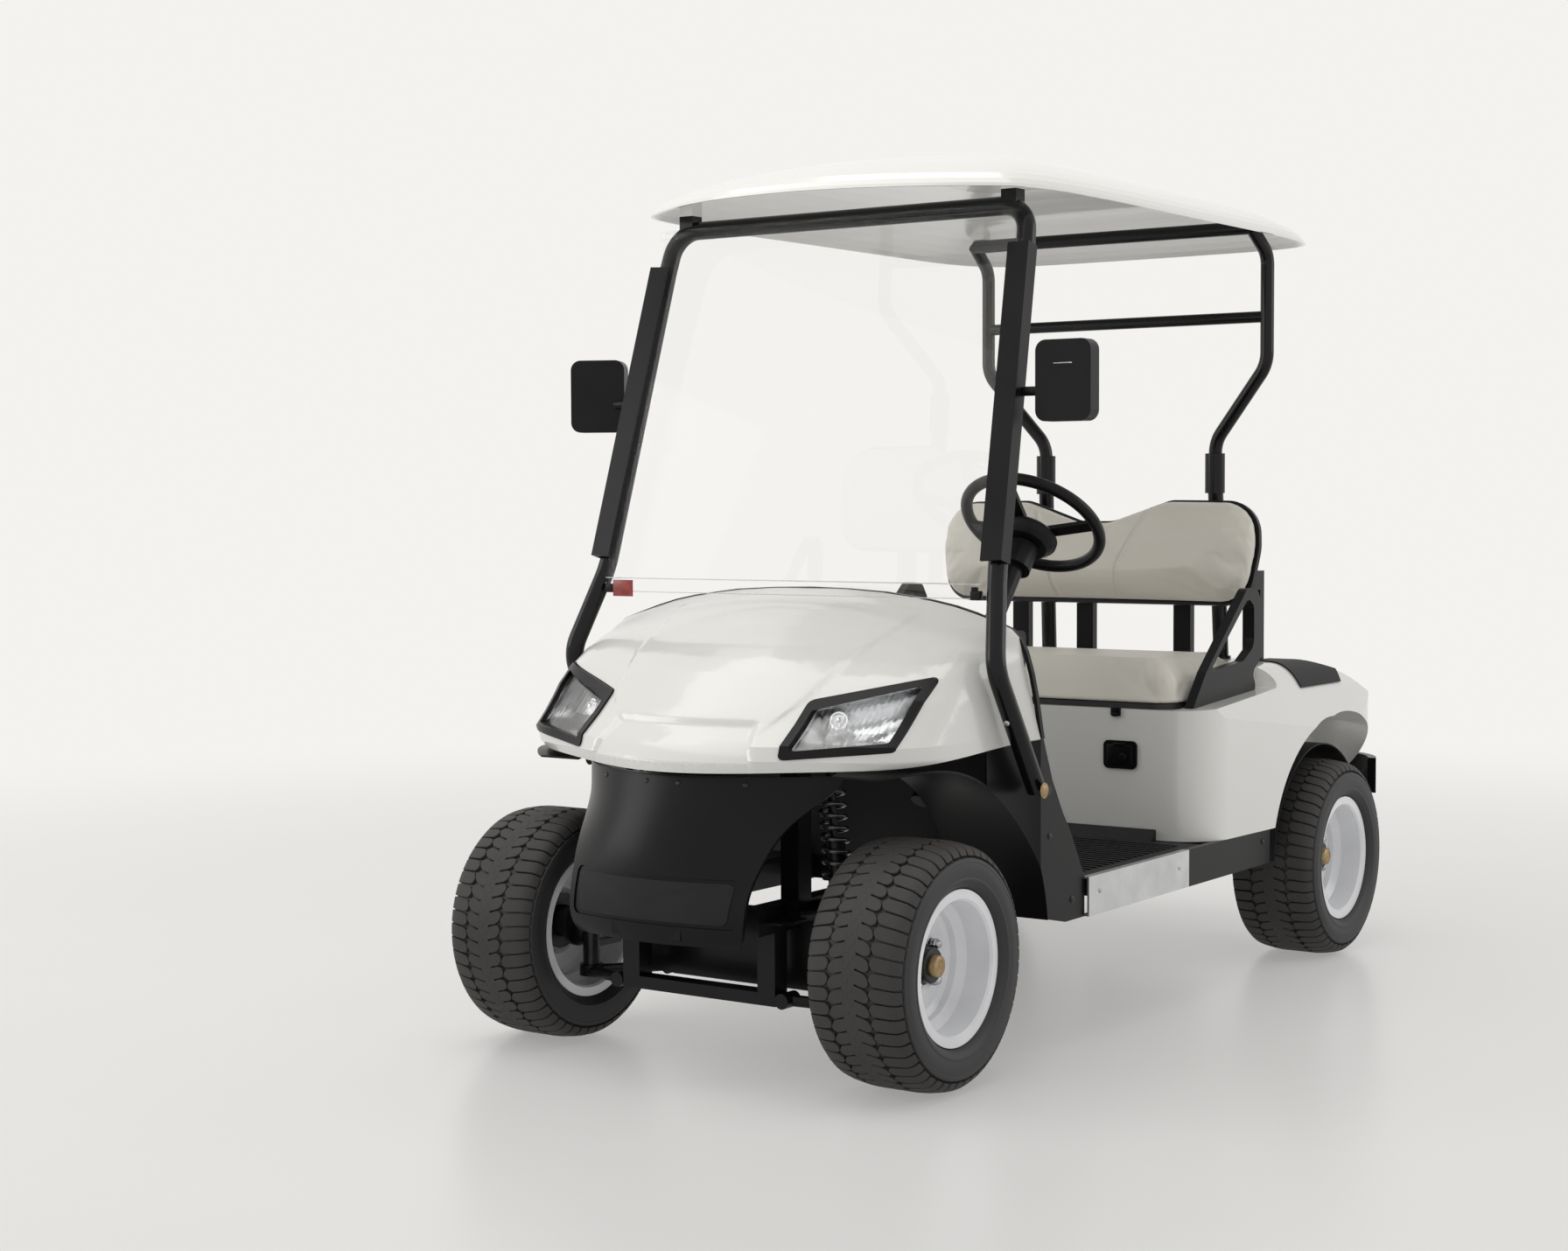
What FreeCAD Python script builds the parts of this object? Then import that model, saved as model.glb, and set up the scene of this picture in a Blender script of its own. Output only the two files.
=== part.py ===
import FreeCAD, Part
import math
import os
from types import SimpleNamespace

import Sketcher
from FreeCAD import Placement, Rotation, Vector

# Two-seat golf cart. X runs to the driver's side, Y to the rear and Z up.
# Every piece is drawn from the point on the ground below the front axle and is
# then set back so that the origin lies under the middle of the whole cart.

SIZES = {
    # whole cart
    "overall_length": 2366,
    "front_overhang": 266,
    "wheelbase": 1693,
    "front_track": 853,
    "rear_track": 946,
    "fit_gap": 0.3,
    "panel_gap": 1,
    "overrun": 60,
    "panel_wall": 5,
    "moulding_wall": 4,
    # tyres and wheels
    "tyre_radius": 230,
    "tyre_width": 208,
    "tyre_shoulder_radius": 222,
    "tyre_shoulder_width": 178,
    "rim_seat_radius": 127,
    "rim_flange_radius": 144,
    "rim_width": 178,
    "rim_flange_wall": 5,
    "rim_wall": 4,
    "rim_well_radius": 112,
    "rim_step_width": 14,
    "rim_disc_wall": 5,
    "rim_disc_place": 10,
    "rim_bowl_depth": 8,
    "rim_bowl_inner_radius": 72,
    "rim_bowl_outer_radius": 96,
    "hub_face_radius": 56,
    "hub_radius": 33,
    "hub_length": 86,
    "hub_nose": 38,
    "cap_radius": 19,
    "cap_height": 13,
    "spindle_radius": 15,
    "spindle_reach": 29,
    "nut_circle_radius": 47,
    "nut_radius": 10,
    "nut_height": 13,
    # steering and front suspension
    "kingpin_inset": 85.5,
    "kingpin_radius": 17,
    "kingpin_low": 150,
    "kingpin_high": 306,
    "spindle_flange_radius": 46,
    "spindle_flange_wall": 8,
    "steer_arm_length": 75,
    "steer_arm_width": 26,
    "steer_arm_wall": 12,
    "steer_arm_top": 196,
    "rod_radius": 8,
    "rod_clearance": 6,
    "rod_eye_radius": 13,
    "rod_eye_height": 20,
    "rack_radius": 19,
    "rack_length": 250,
    "rack_bore_gap": 0.3,
    "arm_pivot_x": 195,
    "arm_spread": 80,
    "arm_tube_radius": 11,
    "arm_eye_radius": 14.7,
    "arm_eye_length": 44,
    "arm_foot_radius": 24,
    "arm_foot_wall": 22,
    "upper_arm_spread": 52,
    "damper_low_x": 258,
    "damper_low_z": 335,
    "damper_top_x": 236,
    "damper_top_z": 590,
    "damper_radius": 18,
    "damper_rod_radius": 8,
    "spring_radius": 29,
    "spring_wire": 9,
    "spring_low": 372,
    "spring_high": 560,
    # frame
    "rail_x": 160,
    "rail_width": 40,
    "rail_low": 276,
    "rail_high": 326.7,
    "rail_front": -150,
    "rail_rear": 1985,
    "cross_tube_low": 138,
    "cross_tube_height": 24,
    "tower_width": 44,
    "tower_wall": 6,
    "outrigger_height": 40,
    # floor
    "floor_top": 333,
    "floor_wall": 6,
    "floor_half_width": 502,
    "floor_front": 506,
    "floor_rear": 1040,
    "toe_top_y": 342,
    "toe_top_z": 596,
    "floor_rib_height": 3,
    "floor_rib_width": 10,
    "floor_rib_pitch": 26,
    "pedal_width": 78,
    "pedal_height": 120,
    "pedal_wall": 9,
    "pedal_arm_radius": 7,
    "brake_pedal_x": 150,
    "drive_pedal_x": 300,
    # cowl
    "cowl_half_width": 508,
    "cowl_lip_z": 578,
    "cowl_lip_rise": 41,
    "cowl_lip_run": 553,
    "cowl_nose": 222,
    "cowl_rear": 285,
    "cowl_height": 903,
    "cowl_side_foot_y": 322,
    "cowl_side_foot_z": 621,
    "cowl_trim_width": 11,
    "cowl_trim_height": 5,
    "dash_half_width": 420,
    "lamp_inner_x": 232,
    "lamp_outer_x": 437,
    "lamp_bottom_x": 423,
    "lamp_corner": 9,
    "dash_corner": 14,
    "lamp_bezel_width": 16,
    "lamp_bezel_stand": 3,
    "lamp_bezel_depth": 22,
    "lamp_lens_sink": 5,
    "lamp_depth": 42,
    # apron, bumper and sills
    "body_half_width": 514,
    "arch_radius": 356,
    "apron_low": 268,
    "apron_rear_y": 500,
    "apron_liner_inner_x": 300,
    "bumper_low": 266,
    "bumper_high": 572,
    "bumper_half_width": 294,
    "bumper_nose": 262,
    "bumper_wall": 8,
    "bumper_plate_half_width": 190,
    "bumper_plate_low": 301,
    "bumper_plate_high": 391,
    "bumper_plate_depth": 3,
    "sill_low": 254,
    "sill_joint": 953,
    "sill_rear": 1372,
    "sill_wall": 4,
    "sill_flange": 36,
    # windscreen and front struts
    "strut_radius": 19,
    "strut_foot_x": 524,
    "strut_foot_y": 276,
    "strut_foot_z": 529,
    "strut_knee_x": 508,
    "strut_knee_y": 148,
    "strut_knee_z": 765,
    "strut_low_x": 470,
    "strut_low_y": 221,
    "strut_low_z": 941,
    "strut_high_x": 435,
    "strut_high_y": 391,
    "strut_high_z": 1567,
    "strut_top_x": 427,
    "strut_top_y": 416,
    "strut_top_z": 1652,
    "strut_bend": 70,
    "strut_top_bend": 60,
    "screen_wall": 5,
    "screen_low_z": 920,
    "screen_high_z": 1641,
    "screen_low_half_width": 452,
    "screen_high_half_width": 438,
    "screen_fold_height": 28,
    "screen_lip_radius": 12,
    "channel_low_z": 957,
    "channel_width": 46,
    "channel_wall": 5,
    # mirrors
    "mirror_x": 566,
    "mirror_y": 334,
    "mirror_z": 1303,
    "mirror_width": 118,
    "mirror_height": 154,
    "mirror_depth": 34,
    "mirror_glass_wall": 3,
    "mirror_turn": 24,
    "mirror_arm_radius": 9,
    # roof
    "roof_half_width": 487,
    "roof_front": 150,
    "roof_rear": 1805,
    "roof_edge_z": 1678,
    "roof_height": 1805,
    "roof_wall": 5,
    "roof_rail_x": 393,
    "roof_rail_width": 34,
    "roof_rail_height": 12,
    # rear struts
    "rear_strut_radius": 16,
    "rear_strut_x": 232,
    "rear_strut_foot_x": 237,
    "rear_strut_foot_y": 1716,
    "rear_strut_y": 1688,
    "rear_sleeve_radius": 18.5,
    "rear_strut_foot_z": 690,
    "rear_strut_knee_z": 1215,
    "rear_strut_elbow_x": 380,
    "rear_strut_elbow_y": 1655,
    "rear_strut_elbow_z": 1396,
    "rear_strut_top_x": 374,
    "rear_strut_top_y": 1577,
    "rear_strut_top_z": 1712,
    "rear_strut_hook_z": 1655,
    "rear_strut_bend": 80,
    "rear_bar_z": 1509,
    "clamp_height": 96,
    "clamp_radius": 24,
    "clamp_z": 1140,
    # rear body
    "body_front": 1045,
    "body_rear": 2080,
    "body_low": 333.4,
    "seat_rim_z": 618,
    "deck_z": 690,
    "deck_front": 1528,
    "body_front_corner": 105,
    "body_rear_corner": 190,
    "body_flare": 26,
    "deck_shoulder": 58,
    "rear_arch_radius": 334,
    "rear_arch_shift": 78,
    "rear_arch_rise": 6,
    "rear_well_inner_x": 352,
    "bay_half_width": 400,
    "bay_front": 1085,
    "bay_rear": 1412,
    "bag_well_half_width": 318,
    "bag_well_front": 1745,
    "bag_well_floor": 470,
    "bag_tray_wall": 4,
    "deck_pad_inner_x": 352,
    "deck_pad_outer_x": 536,
    "deck_pad_front": 1556,
    "deck_pad_rear": 1880,
    "deck_pad_height": 3,
    "rear_bumper_low": 356,
    "rear_bumper_height": 86,
    "rear_bumper_depth": 19.5,
    "rear_bumper_wrap": 130,
    "tail_lamp_x": 392,
    "tail_lamp_z": 478,
    "tail_lamp_width": 84,
    "tail_lamp_height": 52,
    "tail_lamp_depth": 8,
    "port_x": 309,
    "port_z": 517,
    "port_width": 81,
    "port_height": 62,
    "port_stand": 5,
    "latch_height": 12,
    # seat
    "seat_half_width": 431,
    "seat_front": 1050,
    "seat_rear": 1428,
    "seat_low": 630.6,
    "seat_high": 726,
    "seat_corner": 62,
    "seat_board_wall": 12,
    "seat_board_inset": 10,
    "seat_hinge_radius": 5.5,
    "seat_hinge_half_length": 300,
    "back_half_width": 423,
    "back_low": 840,
    "back_high": 1085,
    "back_dip": 48,
    "back_front": 1436,
    "back_thickness": 62,
    "back_shell_wall": 14,
    "back_lean": 9,
    "back_corner": 72,
    "support_inner_x": 134,
    "support_outer_x": 318,
    "support_y": 1723,
    "support_width": 46,
    "support_depth": 22,
    "support_high": 905,
    "armrest_x": 439,
    "armrest_thickness": 22,
    # steering wheel
    "wheel_x": 208,
    "wheel_y": 828,
    "wheel_z": 1028,
    "wheel_tilt_rise": 77,
    "wheel_tilt_run": 64,
    "wheel_rim_radius": 149,
    "wheel_tube_radius": 13,
    "wheel_hub_radius": 48,
    "wheel_hub_height": 34,
    "wheel_spoke_width": 26,
    "wheel_spoke_wall": 10,
    "wheel_dish": 26,
    "shaft_radius": 11,
    "shaft_length": 90,
    "column_radius": 20,
    "column_head_radius": 34,
    "column_head_length": 58,
    "column_gap": 6,
    "column_length": 652,
    # rear axle
    "axle_radius": 30,
    "drum_radius": 92,
    "drum_width": 56,
    "gearcase_radius": 95,
    "gearcase_x": 78,
    "gearcase_width": 110,
    "motor_radius": 72,
    "motor_length": 152,
    "leaf_x": 295,
    "leaf_width": 50,
    "leaf_wall": 8,
    "leaf_front_y": 1405,
    "leaf_rear_y": 1975,
    "leaf_eye_radius": 16,
    "leaf_eye_z": 300,
    # battery
    "battery_half_width": 330,
    "battery_front": 1110,
    "battery_rear": 1400,
    "battery_height": 230,
}

# Outline shares, each of the named size beside it in the code.
COWL_LEVEL_SHARES = (
    # height, nose, corner across and along, edge across and along, side: shares of the cowl's height, of its
    # nose's reach for what runs along and of its half width for what runs across
    (-0.1200, -0.7883, 0.7598, -0.1306, 0.8957, 0.6216, 0.9547),
    (0.0000, -0.9595, 0.7894, -0.1982, 0.9173, 0.5856, 0.9843),
    (0.0800, -1.0000, 0.8228, -0.2703, 0.9291, 0.5315, 0.9980),
    (0.1600, -0.9279, 0.8366, -0.2793, 0.9350, 0.5045, 1.0000),
    (0.2738, -0.6757, 0.8445, -0.0901, 0.9390, 0.6081, 1.0000),
    (0.4031, -0.4279, 0.8484, 0.0811, 0.9409, 0.6847, 1.0000),
    (0.5292, -0.1937, 0.8484, 0.2883, 0.9409, 0.7928, 1.0000),
    (0.6062, -0.0270, 0.8484, 0.4595, 0.9390, 0.8829, 1.0000),
    (0.6738, 0.1441, 0.8445, 0.6667, 0.9331, 1.0000, 0.9980),
    (0.7354, 0.3243, 0.8406, 0.9279, 0.9331, 1.1441, 0.9941),
    (0.7846, 0.4595, 0.8189, 1.1081, 0.9193, 1.2568, 0.9724),
    (0.8277, 0.5946, 0.7402, 1.1351, 0.8366, 1.2748, 0.9213),
    (0.8677, 0.7252, 0.6496, 1.1532, 0.7520, 1.2838, 0.8504),
    (0.9046, 0.8604, 0.5315, 1.1622, 0.6654, 1.2838, 0.7717),
    (0.9354, 0.9820, 0.4232, 1.1802, 0.5650, 1.2838, 0.6772),
    (0.9600, 1.0901, 0.3150, 1.2027, 0.4567, 1.2838, 0.5709),
    (0.9815, 1.1892, 0.2067, 1.2342, 0.3386, 1.2838, 0.4567),
    (0.9969, 1.2658, 0.0886, 1.2680, 0.1772, 1.2838, 0.2953),
    (1.0154, 1.3784, 0.0591, 1.3874, 0.1181, 1.4144, 0.1772),
)
COWL_EDGE_SHARES = (
    # height, across, along: the rear edge from the crest to the side's foot, in the same shares
    (1.0000, 0.0000, 1.2838),
    (0.9938, 0.1791, 1.2838),
    (0.9785, 0.3543, 1.2838),
    (0.9569, 0.4626, 1.2838),
    (0.9354, 0.5650, 1.2838),
    (0.9046, 0.6654, 1.2838),
    (0.8677, 0.7520, 1.2838),
    (0.8240, 0.8366, 1.2748),
    (0.7780, 0.9193, 1.2568),
    (0.7230, 0.9606, 1.2342),
    (0.6523, 0.9862, 1.2297),
    (0.5846, 0.9961, 1.2432),
    (0.5138, 1.0000, 1.2793),
    (0.3754, 1.0000, 1.3514),
    (0.1723, 1.0000, 1.4324),
    (0.1323, 1.0000, 1.4505),
)
COWL_BELT = 3
# heights of the headlamp's corners, from the inner low one round by the outer ones, as shares of the cowl's height
LAMP_HEIGHT_SHARES = (0.08923, 0.14154, 0.54154, 0.40308)
BOW_SHARES = ((0.36, 0.17), (0.72, 0.57))
CORNER_SHARE = 0.7
ARMREST_FOOT_SHARES = (0.106, 0.966)
ARMREST_SHARES = (
    # along, up, corner: shares of the seat's length, of the rise to the back's top and of the seat's corner radius
    (0.966, 0.090, 0.15), (0.886, 0.118, 0.3), (1.066, 0.210, 0.8), (1.074, 0.455, 0.8), (1.000, 0.540, 0.4),
    (0.852, 0.552, 0.5), (0.278, 0.167, 0.0),
)
ARMREST_HOLE_SHARES = (
    # along, up, corner: as above
    (0.331, 0.167, 0.1), (0.794, 0.199, 0.4), (0.950, 0.266, 0.5), (0.947, 0.460, 0.2), (0.886, 0.493, 0.1),
    (0.841, 0.489, 0.1),
)
DECK_FALL_SHARES = (
    # back from the rear end, up, corner: shares of the bag well's length, of the deck's rise and of its shoulder
    (-0.020, 0.220, 0.0), (0.100, 0.500, 2.0), (0.300, 0.735, 2.0), (0.640, 0.905, 2.0), (1.000, 1.000, 1.8),
)
BUMPER_LEVEL_SHARES = (
    # height, half width, nose, corner: shares of the shield's height, half width and nose
    (0.00, 0.640, 0.990, 0.850),
    (0.08, 0.680, 1.000, 0.880),
    (0.30, 0.700, 1.000, 0.850),
    (0.48, 0.735, 0.975, 0.748),
    (0.72, 0.816, 0.900, 0.504),
    (0.95, 1.000, 0.790, 0.187),
    (1.00, 1.020, 0.765, 0.160),
)
ROOF_LEVEL_SHARES = ((0.00, 0.000), (0.05, 0.004), (0.13, 0.016), (0.23, 0.042), (0.34, 0.085), (0.46, 0.145),
                     (0.58, 0.222), (0.70, 0.315), (0.80, 0.415), (0.89, 0.530), (0.96, 0.670), (1.00, 0.840))
ROOF_PLAN_SHARES = (
    # across, along: shares of the roof's half width and of its length from front to rear
    (0.000, 0.000), (0.300, 0.010), (0.560, 0.040), (0.780, 0.080), (0.905, 0.115), (0.965, 0.165), (0.995,
                                                                                                     0.240),
    (1.000, 0.500), (0.998, 0.780), (0.985, 0.870), (0.950, 0.925), (0.870, 0.968), (0.700, 0.990), (0.400,
                                                                                                     0.998),
    (0.000, 1.000),
)
ROOF_SEAT_SHARE = 0.5


class Term:
    """A length that keeps its value and the sheet formula that gives it."""

    def __init__(self, value, text):
        self.value = value
        self.text = text

    def __add__(self, other):
        return Term(self.value + other.value, f"({self.text} + {other.text})")

    def __sub__(self, other):
        return Term(self.value - other.value, f"({self.text} - {other.text})")

    def __mul__(self, share):
        return Term(self.value * share, f"({self.text} * {share})")

    def __truediv__(self, share):
        return Term(self.value / share, f"({self.text} / {share})")

    def __neg__(self):
        return Term(-self.value, f"(-1 * {self.text})")

    def __float__(self):
        return float(self.value)


NONE = Term(0, "0")


def fill_sheet(document):
    """Write every named size to the sheet and return them as terms."""
    sheet = document.addObject("Spreadsheet::Sheet", "Sizes")
    terms = {}
    for row, (name, value) in enumerate(SIZES.items(), 1):
        sheet.set(f"A{row}", name)
        sheet.set(f"B{row}", str(value))
        sheet.setAlias(f"B{row}", name)
        terms[name] = Term(value, f"Sizes.{name}")
    document.recompute()
    return SimpleNamespace(**terms)


def bind(feature, **properties):
    """Bind properties of a feature to terms."""
    for name, term in properties.items():
        feature.setExpression(name.replace("__", "."), term.text)


def settle(feature, x=NONE, y=NONE, z=NONE, rotation=None):
    """Give a feature its bound place and its turn."""
    feature.Placement = Placement(Vector(float(x), float(y), float(z)), rotation or Rotation())
    bind(feature, Placement__Base__x=x, Placement__Base__y=y, Placement__Base__z=z)
    return feature


# Helpers for primitives and booleans.
def box(low, high):
    """A block between two corners."""
    feature = doc.addObject("Part::Box", "block")
    bind(feature, Length=high[0] - low[0], Width=high[1] - low[1], Height=high[2] - low[2])
    return settle(feature, *low)


TURNS = {
    "x": Rotation(Vector(0, 1, 0), 90),
    "y": Rotation(Vector(1, 0, 0), -90),
    "z": Rotation(),
}


def cylinder(base, axis, radius, length):
    """A round bar from its base point along an axis."""
    feature = doc.addObject("Part::Cylinder", "bar")
    bind(feature, Radius=radius, Height=length)
    return settle(feature, *base, TURNS[axis])


def hexagon(base, axis, radius, length):
    """A six-sided bar such as a nut."""
    feature = doc.addObject("Part::Prism", "nut")
    feature.Polygon = 6
    bind(feature, Circumradius=radius, Height=length)
    return settle(feature, *base, TURNS[axis])


def torus(centre, radius, tube, rotation):
    """A ring about its own axis."""
    feature = doc.addObject("Part::Torus", "ring")
    bind(feature, Radius1=radius, Radius2=tube)
    return settle(feature, *centre, rotation)


def shaped(shape):
    """A piece whose form is worked out from the named sizes."""
    feature = doc.addObject("Part::Feature", "form")
    feature.Shape = shape
    return feature


def fuse(*parts):
    feature = doc.addObject("Part::MultiFuse", "fused")
    feature.Shapes = list(parts)
    return feature


def cut(base, *tools):
    feature = doc.addObject("Part::Cut", "cut")
    feature.Base = base
    feature.Tool = tools[0] if len(tools) == 1 else group(*tools)
    return feature


def common(*parts):
    feature = doc.addObject("Part::MultiCommon", "common")
    feature.Shapes = list(parts)
    return feature


def mirrored(part):
    """The same piece on the passenger's side."""
    feature = doc.addObject("Part::Mirroring", "mirrored")
    feature.Source = part
    feature.Normal = Vector(1, 0, 0)
    return feature


def group(*parts):
    feature = doc.addObject("Part::Compound", "group")
    feature.Links = list(parts)
    return feature


def both_sides(*parts):
    """Pieces with their mirror images."""
    return group(*parts, *[mirrored(part) for part in parts])


PLANES = {"x": "YZ_Plane", "y": "XZ_Plane", "z": "XY_Plane"}


def outline(body, axis, corners, level):
    """A sketch through corners (u, v, radius) on a plane across the axis, at a level along it."""
    sketch = body.newObject("Sketcher::SketchObject", "outline")
    plane = next(face for face in body.Origin.OriginFeatures if face.Role == PLANES[axis])
    sketch.AttachmentSupport = [(plane, "")]
    sketch.MapMode = "FlatFace"
    lift = -level if axis == "y" else level
    sketch.setExpression("AttachmentOffset.Base.z", lift.text)
    points = [(float(u), float(v), float(r)) for u, v, r in corners]
    count = len(points)
    tangents = [corner_arc(points[i - 1], points[i], points[(i + 1) % count]) for i in range(count)]
    lines = []
    for i in range(count):
        start = tangents[i][1]
        end = tangents[(i + 1) % count][0]
        lines.append(sketch.addGeometry(Part.LineSegment(Vector(*start, 0), Vector(*end, 0))))
    for i, (u, v, radius) in enumerate(corners):
        before = lines[i - 1]
        after = lines[i]
        if points[i][2] == 0:
            sketch.addConstraint(Sketcher.Constraint("Coincident", before, 2, after, 1))
            pin(sketch, after, u, v)
            continue
        _, _, centre, angles, ends = tangents[i]
        circle = Part.Circle(Vector(*centre, 0), Vector(0, 0, 1), points[i][2])
        arc = sketch.addGeometry(Part.ArcOfCircle(circle, *angles))
        sketch.addConstraint(Sketcher.Constraint("Tangent", before, 2, arc, ends[0]))
        sketch.addConstraint(Sketcher.Constraint("Tangent", arc, ends[1], after, 1))
        size = sketch.addConstraint(Sketcher.Constraint("Radius", arc, points[i][2]))
        sketch.setExpression(f"Constraints[{size}]", radius.text)
        corner = sketch.addGeometry(Part.Point(Vector(points[i][0], points[i][1], 0)), True)
        sketch.addConstraint(Sketcher.Constraint("PointOnObject", corner, 1, before))
        sketch.addConstraint(Sketcher.Constraint("PointOnObject", corner, 1, after))
        pin(sketch, corner, u, v)
    return sketch


def pin(sketch, item, u, v):
    """Tie the first point of an item to its two bound coordinates."""
    for kind, term, axis in (("DistanceX", u, -2), ("DistanceY", v, -1)):
        if float(term) == 0:
            sketch.addConstraint(Sketcher.Constraint("PointOnObject", item, 1, axis))
            continue
        size = sketch.addConstraint(Sketcher.Constraint(kind, -1, 1, item, 1, float(term)))
        sketch.setExpression(f"Constraints[{size}]", term.text)


def corner_arc(before, corner, after):
    """Where a rounded corner starts and ends, its centre, its angles and its end order."""
    first = Vector(corner[0] - before[0], corner[1] - before[1], 0).normalize()
    second = Vector(after[0] - corner[0], after[1] - corner[1], 0).normalize()
    turn = math.atan2(first.x * second.y - first.y * second.x, first.dot(second))
    reach = corner[2] * abs(math.tan(turn / 2))
    start = (corner[0] - first.x * reach, corner[1] - first.y * reach)
    end = (corner[0] + second.x * reach, corner[1] + second.y * reach)
    side = math.copysign(corner[2], turn)
    centre = (start[0] - first.y * side, start[1] + first.x * side)
    angles = [math.atan2(start[1] - centre[1], start[0] - centre[0]),
              math.atan2(end[1] - centre[1], end[0] - centre[0])]
    ends = (1, 2)
    if turn < 0:
        angles.reverse()
        ends = (2, 1)
    return start, end, centre, angles, ends


def prism(axis, corners, low, high):
    """A body padded from an outline between two levels on an axis."""
    body = doc.addObject("PartDesign::Body", "prism")
    sketch = outline(body, axis, corners, high if axis == "y" else low)
    pad = body.newObject("PartDesign::Pad", "pad")
    pad.Profile = sketch
    bind(pad, Length=high - low)
    return body


def turned(corners):
    """A body turned about X from an outline of (place along X, radius, corner radius)."""
    body = doc.addObject("PartDesign::Body", "turned")
    sketch = outline(body, "z", corners, NONE)
    turning = body.newObject("PartDesign::Revolution", "turning")
    turning.Profile = sketch
    turning.ReferenceAxis = (sketch, ["H_Axis"])
    turning.Angle = 360
    return body


def sharp(points):
    """Corners with no radius."""
    return [(u, v, NONE) for u, v in points]


# Helpers for bent tubes.
def bent_path(points, radii):
    """Straight runs joined by tangent arcs."""
    edges = []
    start = points[0]
    for i in range(1, len(points) - 1):
        first = (points[i] - points[i - 1]).normalize()
        second = (points[i + 1] - points[i]).normalize()
        turn = first.getAngle(second)
        reach = radii[i - 1] * math.tan(turn / 2)
        arc_start = points[i] - first * reach
        arc_end = points[i] + second * reach
        inward = (second - first).normalize()
        depth = radii[i - 1] / math.cos(turn / 2) - radii[i - 1]
        edges.append(Part.makeLine(start, arc_start))
        edges.append(Part.Arc(arc_start, points[i] + inward * depth, arc_end).toShape())
        start = arc_end
    edges.append(Part.makeLine(start, points[-1]))
    return Part.Wire(edges)


def tube_shape(points, radius, radii=()):
    """A round bar along a bent path."""
    places = [Vector(*[float(value) for value in point]) for point in points]
    path = bent_path(places, [float(value) for value in radii])
    direction = places[1] - places[0]
    ring = Part.Wire(Part.makeCircle(float(radius), places[0], direction))
    return path.makePipeShell([ring], True, False)


def tube(points, radius, radii=()):
    return shaped(tube_shape(points, radius, radii))


def node(label, feature, x=NONE, y=NONE, z=NONE, rotation=None):
    """Name a finished sub-part and set it back to the frame's origin."""
    feature.Label = label
    settle(feature, x, y + s.front_overhang - s.overall_length / 2, z, rotation)
    NODES.append(feature)
    return feature


# Wheels.
def make_tyre(label, x, y):
    half = s.tyre_width / 2
    shoulder = s.tyre_shoulder_width / 2
    seat = s.rim_seat_radius + s.fit_gap
    flange = s.rim_flange_radius + s.fit_gap
    toe = s.rim_width / 2 - s.rim_flange_wall * 2 - s.fit_gap
    heel = s.rim_width / 2 - s.rim_flange_wall - s.fit_gap
    height = s.tyre_radius - s.rim_flange_radius
    soft = s.tyre_width * 0.08
    right = [(toe, seat, NONE), (heel, flange, NONE), (half, flange + height * 0.20, soft),
             (half, flange + height * 0.62, soft), (shoulder, s.tyre_shoulder_radius, soft / 2),
             (shoulder * 0.5, s.tyre_radius, NONE)]
    left = [(-u, v, r) for u, v, r in reversed(right)]
    node(label, turned(right + left), x, y, s.tyre_radius)


def make_rim(label, x, y, rotation):
    half = s.rim_width / 2
    lip = s.rim_flange_wall
    wall = s.rim_wall
    bore = s.hub_radius + s.fit_gap
    seat = s.rim_seat_radius
    well = s.rim_well_radius
    step = s.rim_step_width
    face = s.rim_disc_place
    bowl = face - s.rim_bowl_depth
    back = face - s.rim_disc_wall
    bowl_back = bowl - s.rim_disc_wall
    inner = s.rim_bowl_inner_radius
    outer = s.rim_bowl_outer_radius
    corners = sharp([
        (half, s.rim_flange_radius), (half - lip, s.rim_flange_radius), (half - lip * 2, seat),
        (face + step * 1.6, seat), (face + step * 0.6, well), (-step * 2, well), (-step * 3, seat),
        (-half + lip * 2, seat), (-half + lip, s.rim_flange_radius), (-half, s.rim_flange_radius),
        (-half, seat), (-half + lip, seat - wall), (-step * 3, seat - wall), (-step * 2, well - wall),
        (bowl_back - step * 0.6, well - wall), (bowl_back, outer + wall), (bowl_back, inner - wall),
        (back, inner - step), (back, bore), (face, bore), (face, inner - step), (bowl, inner),
        (bowl, outer), (face - wall / 2, well - wall), (face + step * 0.8, well - wall),
        (face + step * 1.8, seat - wall), (half - lip, seat - wall), (half, seat)])
    node(label, turned(corners), x, y, s.tyre_radius, rotation)


def make_hub(label, x, y, rotation):
    bore = s.spindle_radius + s.fit_gap
    tail = s.hub_nose - s.hub_length
    back = s.rim_disc_place - s.rim_disc_wall
    body = turned([
        (tail, bore, NONE), (tail, s.hub_radius - s.rim_wall, NONE), (back - s.rim_step_width,
                                                                      s.hub_radius, NONE),
        (back - s.rim_step_width, s.hub_face_radius, NONE), (back, s.hub_face_radius, NONE),
        (back, s.hub_radius, NONE), (s.hub_nose, s.hub_radius, s.rim_wall), (s.hub_nose, s.cap_radius, NONE),
        (s.hub_nose + s.cap_height, s.cap_radius, s.rim_wall), (s.hub_nose + s.cap_height, NONE, NONE),
        (s.spindle_reach + s.panel_gap, NONE, NONE), (s.spindle_reach + s.panel_gap, bore, NONE)])
    nuts = []
    for across, up in ((1, 1), (-1, 1), (-1, -1), (1, -1)):
        place = s.nut_circle_radius * round(math.sqrt(0.5), 6)
        nuts.append(hexagon((s.rim_disc_place, place * across, place * up), "x", s.nut_radius, s.nut_height))
    node(label, group(body, *nuts), x, y, s.tyre_radius, rotation)


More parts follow.
